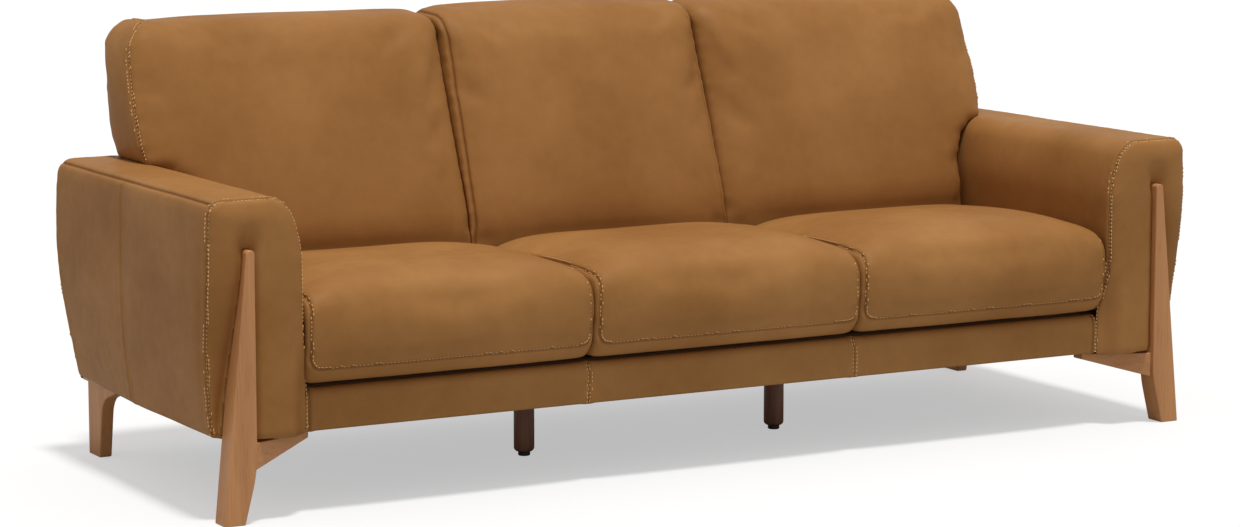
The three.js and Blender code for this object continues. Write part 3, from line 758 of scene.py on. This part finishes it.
def swollen_arm(places, sign):
    """Moves an arm's plain surface to where padding and seams put it."""
    x, y, z = places[:, 0] * sign, places[:, 1], places[:, 2]
    flat = np.column_stack([x, np.zeros(len(x)), z])
    inside = distances(flat, evenly(rounded_line(PANEL_SEAM, seen_front(1, 0)), 0.002))
    beside = distances(flat, evenly(rounded_line(LEG_CORNERS, seen_front(1, 0)), 0.002))
    swell = np.sqrt(1 - (1 - np.clip(inside / 0.042, 0, 1)) ** 2)
    outward = ramp(x, blade_edge(z) - 0.012, blade_edge(z) + 0.004)
    low = outward * ramp(leg_high.z - z, 0, 0.32)
    facing = 1 - ramp(y, FRONT + 0.004, FRONT + 0.03)
    near_front = 1 - ramp(y, FRONT, FRONT + 0.1)
    above_tip = ((x - BLADE - 0.008) / 0.018) ** 2 + ((z - leg_high.z - 0.012) / 0.024) ** 2
    pressed = (0.010 - 0.003 * outward) * np.exp(-((beside / (0.007 + 0.006 * outward)) ** 2))
    pressed += 0.014 * np.exp(-above_tip)
    lip = (1 - ramp(x, LIP, LIP + 0.05)) * (1 - ramp(z, DECK - 0.01, DECK + 0.1))
    forward = (PANEL_SWELL * swell * (1 - low) - pressed * swell) * facing * (1 - lip)
    back = 0.021 * low * near_front + 0.018 * lip * np.clip(1 - (y - FRONT) / 0.021, 0, 1)
    taper = ramp(y, ARM_REAR - 0.42, ARM_REAR) * (1 - ramp(z, UNDERSIDE, 0.45))
    taper *= ramp(x, ARM_OUTER - 0.05, ARM_OUTER - 0.03)
    belly = 1 - np.exp(-np.abs(y - SIDE_SEAM) / 0.05)
    outer = ramp(x, ARM_OUTER - 0.03, ARM_OUTER - 0.01) * ramp(y, FRONT + 0.01, FRONT + 0.05)
    height = 1 - ((z - 0.38) / 0.24) ** 2
    moved = places.copy()
    moved[:, 1] += back - forward
    moved[:, 0] += sign * (0.0045 * belly * outer * np.clip(height, 0, 1) - 0.022 * taper)
    return moved


def arm_leather(side, sign):
    """One arm's leather with its seams pressed in, and the thread along them."""
    at_front = seen_front(sign, FRONT + 0.001)
    bm = bmesh.new()
    block(bm, ARM_CORNERS, at_front, (0, ARM_REAR - FRONT - 0.002, 0))
    rear = [edge for edge in bm.edges if min(vert.co.y for vert in edge.verts) > ARM_REAR - 0.002
            and abs(edge.verts[0].co.x + edge.verts[1].co.x) / 2 > ARM_INNER + 0.02
            and edge.verts[0].co.z + edge.verts[1].co.z > 2 * UNDERSIDE + 0.04]
    bmesh.ops.bevel(bm, geom=rear, offset=0.016, segments=4, affect="EDGES", **ROUND)
    at_rear = seen_front(sign, ARM_REAR - 0.0192)
    for corners, place in ((LIP_CORNERS, at_front), (REAR_LIP_CORNERS, at_rear)):
        lip = bmesh.new()
        block(lip, corners, place, (0, LIP_DEPTH, 0))
        pour(lip, bm)
    arm = as_object(bm, f"arm_leather_{side}")
    remeshed(arm, SKIN_SQUARE, 5)
    places = swollen_arm(places_of(arm), sign)
    places += normals_of(arm) * 0.0011 * ripple(places, 7, 3 + sign)[:, None]
    move_to(arm, places)
    smoothed(arm, 2)
    panel = rounded_line(PANEL_SEAM, at_front)
    panel = [Vector(place) for place in swollen_arm(np.array(panel), sign)]
    rear_panel = rounded_line(PANEL_SEAM[:7], seen_front(sign, ARM_REAR - 0.006))
    rim = ARM_OUTER - 0.019
    top = [Vector((sign * rim, y, ARM_TOP - ARM_SEAM_DROP)) for y in (FRONT + 0.008, ARM_REAR - 0.01)]
    upright = [Vector((sign * (ARM_OUTER + 0.004), SIDE_SEAM, z)) for z in (UNDERSIDE + 0.01, ARM_TOP - 0.02)]
    seams = sew(arm, [panel, rear_panel, top])
    soft = sew(arm, [upright], depth=0.0016, cuts=1)
    thread = stitched(arm, f"arm_thread_{side}", [(seams[0], ROW), (seams[0], -ROW), (seams[1], sign * ROW)])
    print("upright seam", round(len(soft[0]) * SEAM_STEP, 2), "m")
    return arm, thread


def slot_for_leg(piece, sign):
    """Cuts the slot that the blade of the leg sits in."""
    bm = bmesh.new()
    grown = [(a + (TOUCH_GAP if i in (1, 2) else -TOUCH_GAP), b + (TOUCH_GAP if i < 2 else 0), r)
             for i, (a, b, r) in enumerate(LEG_CORNERS)]
    block(bm, grown, seen_front(sign, leg_low.y - 0.05), (0, leg_high.y - leg_low.y + 0.051, 0))
    tool = as_object(bm, "leg_shape")
    cutter = piece.modifiers.new("slot", "BOOLEAN")
    cutter.object = tool
    cutter.solver = "EXACT"
    settle(piece)
    bpy.data.objects.remove(tool)


arm_surfaces = {}
for side, sign in SIDES.items():
    arm, thread = arm_leather(side, sign)
    arm_surfaces[sign] = surface_of(arm)
    slot_for_leg(arm, sign)
    panels = [f"arm_{part}_panel_{side}" for part in ("front", "outer", "inner", "rear")]
    hand_over(arm, TAN, "frame", panels)
    hand_over(thread, THREAD, "frame")

# %% [markdown]
# ## Front rail
#
# The rail under the cushions is wrapped in padded leather in three lengths, sewn together in line
# with the gaps between the cushions. Each length swells a little between its seams.

# %% Front rail leather
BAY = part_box("seat_cushion_middle")[1].x + 0.002
RAIL_TUCK = 0.009
low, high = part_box("front_rail_cover")
deck_low, deck_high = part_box("seat_deck")
rail_corners = [
    (low.y + 0.001, low.z + 0.001, 0.01),
    (low.y + 0.001, high.z - 0.001, 0.015),
    (deck_low.y - 0.001, high.z - 0.001, 0),
    (deck_low.y - 0.001, deck_low.z - 0.001, 0),
    (high.y, deck_low.z - 0.003, 0),
    (high.y, low.z + 0.001, 0),
]
bm = bmesh.new()
block(bm, rail_corners, seen_side(low.x - RAIL_TUCK), (high.x - low.x + 2 * RAIL_TUCK, 0, 0))
rail = as_object(bm, "front_rail_leather")
remeshed(rail, SKIN_SQUARE, 4)
places = places_of(rail)
to_seam = np.minimum(np.abs(np.abs(places[:, 0]) - BAY), 0.3)
swell = 0.0032 * (1 - np.exp(-to_seam / 0.03)) * (1 - ramp(places[:, 1], low.y + 0.006, low.y + 0.016))
swell *= np.clip(1 - ((places[:, 2] - 0.19) / 0.05) ** 2, 0, 1)
places[:, 1] -= swell + 0.0012 * ripple(places, 6, 4) * (swell > 0.0004)
move_to(rail, places)
rail_seam = [(low.y, low.z + 0.003), (low.y, high.z - 0.012), (low.y + 0.014, high.z)]
joint = high.x - 0.002
seams = [[Vector((x, y, z)) for y, z in rail_seam] for x in (-BAY, BAY, -joint, joint)]
laid = sew(rail, seams, depth=0.0024)
rows = [(seam, beside) for seam in laid[:2] for beside in (ROW, -ROW)]
rows += [(laid[2], ROW), (laid[3], -ROW)]
thread = stitched(rail, "front_rail_thread", rows)
hand_over(rail, TAN, "frame", ["front_rail_cover"])
hand_over(thread, THREAD, "frame")

# %% [markdown]
# ## Deck, dust cover and outside back
#
# The deck is a thin pad of brown cloth over the webbing. The dust cover is one sheet stapled under
# the frame; it is cut flat, so it starts as a grid and only dips a little between the rails. The
# outside back is a board in leather, sewn in three widths.

# %% Deck
def grid(columns, rows, width, depth):
    """A flat sheet of even squares round the origin."""
    bm = bmesh.new()
    bmesh.ops.create_grid(bm, x_segments=columns, y_segments=rows, size=0.5)
    bmesh.ops.scale(bm, verts=bm.verts, vec=(width, depth, 1))
    return bm


width, depth = deck_high.x - deck_low.x - 0.002, deck_high.y - deck_low.y - 0.002
bm = grid(72, 28, width, depth)
bmesh.ops.translate(bm, verts=bm.verts, vec=(0, (deck_low.y + deck_high.y) / 2, deck_high.z - 0.0012))
deck = as_object(bm, "deck_pad")
places = places_of(deck)
from_middle = np.abs(places[:, 1] - (deck_low.y + deck_high.y) / 2)
edge = np.minimum(width / 2 - np.abs(places[:, 0]), depth / 2 - from_middle)
quilt = np.minimum(np.abs(np.abs(places[:, 0]) - BAY), 0.1)
places[:, 2] -= 0.003 * np.exp(-((edge / 0.012) ** 2)) + 0.0015 * np.exp(-((quilt / 0.01) ** 2))
move_to(deck, places)
wall = deck.modifiers.new("padding", "SOLIDIFY")
wall.thickness = 0.0075
wall.offset = -1
hand_over(deck, DECK_CLOTH, "frame", ["seat_deck"])

# %% Dust cover
low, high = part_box("dust_cover")
width, depth = high.x - low.x, high.y - low.y
bm = grid(80, 30, width, depth)
bmesh.ops.translate(bm, verts=bm.verts, vec=(0, (low.y + high.y) / 2, high.z - 0.0006))
cover = as_object(bm, "dust_sheet")
places = places_of(cover)
edge = np.minimum(width / 2 - np.abs(places[:, 0]), depth / 2 - np.abs(places[:, 1] - (low.y + high.y) / 2))
edge = np.minimum(edge, np.abs(np.abs(places[:, 0]) - BAY))
places[:, 2] -= 0.0012 * ramp(edge, 0.02, 0.12) + 0.0003 * ripple(places, 14, 2)
move_to(cover, places)
hand_over(cover, DUST_CLOTH, "frame", ["dust_cover"])
wall = cover.modifiers.new("cloth", "SOLIDIFY")
wall.thickness = 0.0006

# %% Outside back
low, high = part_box("outside_back")
BACK_EDGE = high
rail_low, rail_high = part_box("back_top_rail")
foot_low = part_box("back_upright_1")[0]
BOARD = 0.006
FOOT_BEHIND = 0.765
lean = (high.y - FRONT - FOOT_BEHIND) / (high.z - low.z)
half_low, half_high = ARM_INNER - 0.001, high.x - 0.001


def back_plane(height):
    """How far back the outside of the sofa is at a height."""
    return BACK_EDGE.y - (BACK_EDGE.z - height) * lean


bm = grid(150, 56, 2 * half_high, high.z - low.z)
bmesh.ops.rotate(bm, verts=bm.verts, matrix=Matrix.Rotation(math.pi / 2, 3, "X"))
bmesh.ops.translate(bm, verts=bm.verts, vec=(0, 0, (low.z + high.z) / 2))
back = as_object(bm, "outside_back_leather")
places = places_of(back)
beside_arm = places[:, 2] < ARM_TOP + 0.001
places[beside_arm, 0] = np.clip(places[beside_arm, 0], -half_low, half_low)
places[:, 1] = back_plane(places[:, 2]) - 0.0012
edge = np.minimum(np.abs(np.abs(places[:, 0]) - BAY), half_low - np.abs(places[:, 0]))
edge = np.minimum(edge, np.minimum(places[:, 2] - low.z, high.z - places[:, 2]))
places[:, 1] += 0.002 * (1 - np.exp(-np.clip(edge, 0, 1) / 0.04)) + 0.0006 * ripple(places, 5, 6)
places[:, 1] -= 0.003 * np.exp(-((np.clip(edge, 0, 1) / 0.006) ** 2)) * (edge < half_low)
move_to(back, places)
seams = [[Vector((x, back_plane(z), z)) for z in (low.z + 0.004, high.z - 0.004)] for x in (-BAY, BAY)]
laid = sew(back, seams, depth=0.0022, cuts=3)
thread = stitched(back, "outside_back_thread", [(seam, beside) for seam in laid for beside in (ROW, -ROW)])
wall = back.modifiers.new("board", "SOLIDIFY")
wall.thickness = BOARD
wall.offset = 1 if back.data.polygons[0].normal.y < 0 else -1
hand_over(back, TAN, "frame", ["outside_back"])
hand_over(thread, THREAD, "frame")


# %% [markdown]
# ## Stuffing
#
# A cushion is a leather bag pushed out by its filling, so it is inflated rather than drawn. The
# block starts a little small and a little domed, its resting faces are held, and Blender's cloth
# lets an inner pressure push the rest outward for twenty frames. How far a point may travel is
# capped, and the cushion is pressed back wherever it would enter a neighbour, which gives the flat
# faces and the tight dark lines between real cushions. A few rounds of smoothing take out what
# thick hide wouldn't show. The seams are pressed in last, on a finer surface.

# %% Inflating
SQUARE = 0.0105
PRESSURE = 4.0
FRAMES = 20
MOST_TRAVEL = 0.009


def inflated(piece, held, most=MOST_TRAVEL):
    """Blows a piece up with Cloth and returns where its points were and are; held is 0 to 1."""
    before = places_of(piece)
    group = piece.vertex_groups.new(name="held")
    for weight in np.unique(np.round(held, 1)):
        chosen = np.flatnonzero(np.round(held, 1) == weight)
        group.add(chosen.tolist(), float(weight), "REPLACE")
    cloth = piece.modifiers.new("stuffing", "CLOTH")
    cloth.settings.use_pressure = True
    cloth.settings.uniform_pressure_force = PRESSURE
    cloth.settings.effector_weights.gravity = 0
    cloth.settings.vertex_group_mass = "held"
    cloth.settings.quality = 3
    cloth.settings.bending_stiffness = 8
    cloth.point_cache.frame_start, cloth.point_cache.frame_end = 1, FRAMES
    for moment in range(1, FRAMES + 1):
        scene.frame_set(moment)
    shown = piece.evaluated_get(bpy.context.evaluated_depsgraph_get()).to_mesh()
    swollen = rows_of(shown.vertices, "co")
    piece.modifiers.clear()
    scene.frame_set(1)
    travel = swollen - before
    length = np.linalg.norm(travel, axis=1, keepdims=True) + 1e-9
    after = before + travel / length * most * np.tanh(length / most)
    move_to(piece, after)
    print(piece.name, f"swelled {length.max() * 1000:.0f} mm, kept to {1000 * most:.0f} mm")
    return before, after


def carried(points, before, after):
    """Points moved as the surface beside them moved."""
    tree = tree_of(before)
    moved = []
    for point in points:
        near = [index for _, index, _ in tree.find_n(point, 6)]
        moved.append(point + Vector((after[near] - before[near]).mean(axis=0)))
    return moved


# %% [markdown]
# **Seat cushions.** The top leather runs over the nose and down the front to a stitched seam close
# to the lower edge; that seam turns up both front corners and goes back along the sides. Below it
# is a narrow band that stays in shadow.

# %% Seat cushion shape
SEAM_RISE = 0.031
SEAM_INSET = 0.003
SEAM_BACK = 0.011
SIDE_GAP = 0.0012
CORNER = 0.026
DOME = 0.026
SEAT_PRESSED = 0.005
SEAT_ROW = 0.0046
seat_low, seat_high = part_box("seat_cushion_middle")
NOSE, SEAT_REAR = seat_low.y, seat_high.y
SEAT_CORNERS = [
    (NOSE + 0.034, seat_low.z + 0.001, 0.012),
    (NOSE + SEAM_BACK, seat_low.z + SEAM_RISE, 0.006),
    (NOSE + 0.004, seat_low.z + 0.1, 0.05),
    (NOSE + 0.007, seat_high.z - 0.019, 0.037),
    (NOSE + 0.2, seat_high.z - 0.006, 0.12),
    (SEAT_REAR - 0.006, seat_high.z - 0.03, 0.03),
    (SEAT_REAR - 0.012, seat_low.z + 0.001, 0.01),
]


def seat_seam(left, right):
    """The seam from one rear corner, along the side, round the front and back along the other."""
    corners = [(y, z, r if 0 < i < 4 else 0) for i, (y, z, r) in enumerate(SEAT_CORNERS[1:6])]
    line = rounded_line(corners, seen_side(0))
    rise = [point for point in line if point.z > seat_low.z + SEAM_RISE + CORNER]
    turns = [step * math.pi / 16 for step in range(9)]
    near = [Vector((left + SEAM_INSET, point.y, point.z)) for point in reversed(rise)]
    for turn in turns:
        sideways, upwards = CORNER * (1 - math.cos(turn)), CORNER * (1 - math.sin(turn))
        across, height = left + SEAM_INSET + sideways, seat_low.z + SEAM_RISE + upwards
        near.append(Vector((across, NOSE + SEAM_BACK, height)))
    middle = (left + right) / 2
    return near + [Vector((2 * middle - point.x, point.y, point.z)) for point in reversed(near)]


def domed(places, left, right):
    """Lowers the top towards the sides of a seat cushion."""
    across = np.clip(np.abs(places[:, 0] - (left + right) / 2) / ((right - left) / 2), 0, 1)
    moved = places.copy()
    moved[:, 2] -= DOME * ramp(places[:, 2], seat_low.z + 0.07, seat_high.z - 0.04) * across ** 6
    return moved


def seat_cushion(name):
    """One loose seat cushion with its sewn seam, which rides on its own body."""
    low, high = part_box(f"seat_cushion_{name}")
    left, right = low.x, high.x
    bm = bmesh.new()
    length = right - left + 2 * SEAT_PRESSED
    block(bm, SEAT_CORNERS, seen_side(left - SEAT_PRESSED), (length, 0, 0))
    ends = [edge for edge in bm.edges if abs(edge.verts[0].co.x - edge.verts[1].co.x) < 1e-6]
    bmesh.ops.bevel(bm, geom=ends, offset=0.01, segments=3, affect="EDGES", **ROUND)
    cushion = as_object(bm, f"seat_cushion_leather_{name}")
    remeshed(cushion, SQUARE, 3)
    places = domed(places_of(cushion), left, right)
    move_to(cushion, places)
    seam = [Vector(place) for place in domed(np.array(evenly(seat_seam(left, right), 0.006)), left, right)]
    resting = 1 - ramp(places[:, 2], low.z + 0.004, low.z + 0.02)
    behind = ramp(places[:, 1], SEAT_REAR - 0.05, SEAT_REAR - 0.015)
    sewn = 0.5 * np.exp(-((distances(places, seam) / 0.01) ** 2))
    before, after = inflated(cushion, np.maximum(np.maximum(resting, behind), sewn))
    seam = carried(seam, before, after)
    subdivided(cushion)
    places = places_of(cushion)
    places += normals_of(cushion) * 0.0016 * ripple(places, 5.5, 7 + left)[:, None]
    move_to(cushion, places)
    smoothed(cushion, 14)
    places = places_of(cushion)
    places[:, 0] = np.clip(places[:, 0], left - SIDE_GAP, right + SIDE_GAP)
    places[:, 1] = np.clip(places[:, 1], NOSE - 0.012, SEAT_REAR)
    places[:, 2] = np.maximum(places[:, 2], low.z)
    move_to(cushion, places)
    smoothed(cushion, 1)
    laid = sew(cushion, [seam], depth=0.003)
    thread = stitched(cushion, f"seat_cushion_thread_{name}", [(laid[0], SEAT_ROW)])
    hand_over(cushion, TAN, f"cushion_{name}", [f"seat_cushion_{name}"])
    hand_over(thread, THREAD, f"cushion_{name}")


for place in PLACES:
    seat_cushion(place)

# %% [markdown]
# **Back cushions.** Each is a bag that leans against the back frame and folds over its top. The
# outer two reach over the arms as wings. The side profile and the front profile are simple
# outlines; a Boolean keeps what lies inside both.

# %% Back cushion shape
LEAN = 0.397
SEAT_TOP = seat_high.z
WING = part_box("back_cushion_right")[1].x
BACK_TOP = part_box("back_cushion_middle")[1].z
FOOT = foot_low.y - 0.005
REST_LEAN = (rail_low.y - foot_low.y) / (rail_low.z - foot_low.z)


def back_face(height):
    """The seam plane of the back cushions' fronts."""
    return FRONT + 0.495 + LEAN * (height - 0.44)


def back_rest(height):
    """The plane of the back frame that the cushions lie against."""
    return FOOT + REST_LEAN * (height - foot_low.z)


SADDLE = rail_high.z + 0.007
CREST = BACK_TOP - 0.006
BACK_PROFILE = [
    (FRONT + 0.503, DECK + 0.002, 0.012),
    (FRONT + 0.505, SEAT_TOP - 0.004, 0.03),
    (back_face(CREST), CREST, 0.034),
    (back_plane(CREST) - 0.014, CREST, 0.028),
    (back_plane(SADDLE) - 0.01, SADDLE, 0.004),
    (back_rest(SADDLE), SADDLE, 0),
    (back_rest(DECK), DECK + 0.002, 0),
]
WING_START = BACK_EDGE.x + 0.004
WING_PROFILE = [
    *BACK_PROFILE[:3],
    (back_plane(CREST) - 0.016, CREST, 0.028),
    (back_plane(SADDLE) - 0.014, SADDLE - 0.01, 0.04),
    (back_rest(ARM_TOP) + 0.026, ARM_TOP - 0.014, 0.01),
    (back_rest(DECK), DECK + 0.002, 0),
]
PRESSED = 0.006
MIDDLE_FRONT = [
    (-BAY - PRESSED, DECK, 0.01), (-BAY - PRESSED, CREST, 0.016),
    (BAY + PRESSED, CREST, 0.016), (BAY + PRESSED, DECK, 0.01),
]
END_FRONT = [
    (BAY - PRESSED, DECK, 0.01),
    (BAY - PRESSED, CREST, 0.016),
    (WING - 0.012, CREST, 0.058),
    (WING + 0.003, ARM_TOP + 0.055, 0.05),
    (WING - 0.01, ARM_TOP - 0.012, 0.015),
    (ARM_INNER + 0.044, ARM_TOP - 0.012, 0.02),
    (ARM_INNER + 0.008, ARM_TOP - 0.05, 0.03),
    (ARM_INNER - 0.002, ARM_TOP - 0.11, 0.02),
    (ARM_INNER - 0.002, DECK, 0.01),
]
GAP_SEAM = 0.001
WING_SEAM_BACK = 0.02


def front_line(sign):
    """The outline of a back cushion's front; sign is 0 for the middle one."""
    return [(a * (sign or 1), b, r) for a, b, r in (END_FRONT if sign else MIDDLE_FRONT)]


def gap_seam(edge):
    """A seam up the front beside a gap and straight back over the top."""
    foot = (BACK_PROFILE[0][0], BACK_PROFILE[0][1] + 0.02, 0)
    corners = [foot, *BACK_PROFILE[1:3], (back_plane(CREST) - 0.03, CREST, 0)]
    return evenly(rounded_line(corners, seen_side(edge)), 0.006)


def wing_seam(sign):
    """A seam up the side of a wing, round its top corner and back over the top."""
    side, turned = WING - 0.003, WING - 0.062
    path = [(side, ARM_TOP + 0.004), (side, CREST - 0.064),
            (WING - 0.012, CREST - 0.03), (WING - 0.032, CREST - 0.008)]
    points = [Vector((sign * x, back_face(z) + WING_SEAM_BACK, z)) for x, z in path]
    over = (back_face(CREST) + 0.045, back_plane(CREST) - 0.03)
    points += [Vector((sign * turned, y, CREST)) for y in over]
    return evenly(points, 0.006)


def back_seams(sign):
    """Seams beside both gaps on the middle cushion, and on an outer one round its wing."""
    if not sign:
        return [gap_seam(-BAY + GAP_SEAM), gap_seam(BAY - GAP_SEAM)]
    return [wing_seam(sign)]


def plumped(places, corners):
    """Domes the front of a back cushion and turns its front and top in towards its sides."""
    xs = [corner[0] for corner in corners]
    left, right = min(xs), max(xs)
    across = np.clip((places[:, 0] - left) / (right - left), 0, 1)
    up = np.clip((places[:, 2] - SEAT_TOP + 0.025) / (CREST - SEAT_TOP + 0.025), 0, 1)
    dome = (16 * across * (1 - across) * up * (1 - up)) ** 0.6
    edge = np.minimum(places[:, 0] - left, right - places[:, 0])
    turned = (1 - np.clip(edge / 0.06, 0, 1)) ** 2
    facing = 1 - ramp(places[:, 1] - back_face(places[:, 2]), 0, 0.06)
    moved = places.copy()
    moved[:, 1] += facing * (0.013 * turned - 0.022 * dome)
    upper = ramp(places[:, 2], 0.76, CREST)
    moved[:, 2] += upper * (0.01 * np.sqrt(4 * across * (1 - across)) - 0.006 * turned)
    return moved


def side_block(profile, start, end):
    """A block with a side profile between two distances from the middle of the sofa."""
    bm = bmesh.new()
    block(bm, profile, seen_side(start), (end - start, 0, 0))
    return as_object(bm, "side_profile")


def in_order(piece):
    """Numbers points and faces by where they are; a Boolean leaves them in another order each run."""
    points = [tuple(vertex.co) for vertex in piece.data.vertices]
    ranked = sorted(range(len(points)), key=points.__getitem__)
    number = {old: new for new, old in enumerate(ranked)}
    faces = []
    for polygon in piece.data.polygons:
        ring = [number[index] for index in polygon.vertices]
        first = ring.index(min(ring))
        faces.append(ring[first:] + ring[:first])
    mesh = bpy.data.meshes.new(piece.name)
    mesh.from_pydata([points[index] for index in ranked], [], sorted(faces))
    piece.data = mesh


def united(first, second, operation):
    """Joins or cuts the first piece with the second, which is used up."""
    both = first.modifiers.new("with the other", "BOOLEAN")
    both.operation = operation
    both.solver = "EXACT"
    both.object = second
    settle(first)
    in_order(first)
    bpy.data.objects.remove(second)


def back_cushion(name, sign):
    """One back cushion, from its outlines to its seams; sign is 0 for the middle one."""
    corners = front_line(sign)
    cushion = side_block(BACK_PROFILE, -1.2, 1.2)
    cushion.name = f"back_cushion_leather_{name}"
    if sign:
        united(cushion, side_block(WING_PROFILE, sign * WING_START, sign * 1.1), "UNION")
    bm = bmesh.new()
    block(bm, corners, seen_front(1, FRONT), (0, 1, 0))
    united(cushion, as_object(bm, "front_profile"), "INTERSECT")
    remeshed(cushion, SQUARE, 3)
    places = plumped(places_of(cushion), corners)
    move_to(cushion, places)
    seams = back_seams(sign)
    x, y, z = places.T
    behind = np.where(z > SADDLE - 0.004, back_plane(z) - 0.03, back_rest(z) - 0.02)
    resting = ramp(y - behind, 0, 0.012) * (np.abs(x) < WING_START)
    under = 1 - ramp(z, DECK + 0.01, DECK + 0.05)
    points = [point for seam in seams for point in evenly(seam, 0.004)]
    sewn = 0.3 * np.exp(-((distances(places, points) / 0.012) ** 2))
    before, after = inflated(cushion, np.maximum(np.maximum(resting, under), sewn))
    seams = [carried(seam, before, after) for seam in seams]
    subdivided(cushion)
    places = places_of(cushion)
    places += normals_of(cushion) * 0.0018 * ripple(places, 5, 11 + sign)[:, None]
    move_to(cushion, places)
    smoothed(cushion, 9)
    places = places_of(cushion)
    pressed_back(places, sign)
    move_to(cushion, places)
    smoothed(cushion, 1)
    laid = sew(cushion, seams, depth=0.003)
    hand_over(cushion, TAN, "frame", [f"back_cushion_{name}"])
    if sign:
        thread = stitched(cushion, f"back_cushion_thread_{name}", [(laid[0], ROW), (laid[0], -ROW)])
        hand_over(thread, THREAD, "frame")


def clear_of(places, surface, gap):
    """Pushes points that are inside a neighbour, or closer than gap, out along its surface."""
    for index, place in enumerate(places):
        found, normal, _, away = surface.find_nearest(place, 0.04)
        if found and (Vector(place) - found).dot(normal) < gap:
            places[index] = found + normal * gap


def pressed_back(places, sign):
    """Keeps a back cushion out of its neighbours, the frame, the seat and the arm."""
    x, y, z = places.T
    if sign:
        x[:] = sign * np.maximum(x * sign, BAY + TOUCH_GAP)
        side = x * sign > ARM_INNER - 0.02
        beside = places[side]
        clear_of(beside, arm_surfaces[sign], TOUCH_GAP)
        places[side] = beside
    else:
        x[:] = np.clip(x, -BAY + TOUCH_GAP, BAY - TOUCH_GAP)
    free = (z > SADDLE - 0.002) | (np.abs(x) > WING_START)
    y[:] = np.minimum(y, np.where(free, back_plane(z) - 0.004, back_rest(z)))
    low = z < SEAT_TOP + 0.01
    y[low] = np.maximum(y[low], SEAT_REAR + 0.002 - 0.02 * ramp(z[low], SEAT_TOP - 0.03, SEAT_TOP + 0.01))
    z[:] = np.maximum(z, DECK + 0.001)


for place, sign in zip(PLACES, (-1, 0, 1)):
    back_cushion(place, sign)

# %% [markdown]
# ## Floor
#
# The floor is a plain pale sheet that only belongs to the picture. A white studio floor is lit from
# below as well, so the shadow under the sofa stays pale. That light is only added where the floor
# is seen directly, because thrown upwards it would flatten the fronts.

# %% Floor
FLOOR_GLOW = 0.48
bm = bmesh.new()
bmesh.ops.create_grid(bm, x_segments=1, y_segments=1, size=40)
floor = as_object(bm, "pale_floor")
floor_finish = bpy.data.materials.new("pale_floor")
floor_finish.use_nodes = True
floor_shader = floor_finish.node_tree.nodes["Principled BSDF"]
floor_shader.inputs["Base Color"].default_value = (0.52, 0.52, 0.52, 1)
floor_shader.inputs["Roughness"].default_value = 0.9
floor_shader.inputs["Specular IOR Level"].default_value = 0.1
floor_shader.inputs["Emission Color"].default_value = (1, 1, 1, 1)
ray = add_node(floor_finish.node_tree, "LightPath").outputs["Is Camera Ray"]
glow = spread(floor_finish.node_tree, ray, 0.0, 1.0, 0.0, FLOOR_GLOW)
floor_finish.node_tree.links.new(glow, floor_shader.inputs["Emission Strength"])
floor.data.materials.append(floor_finish)
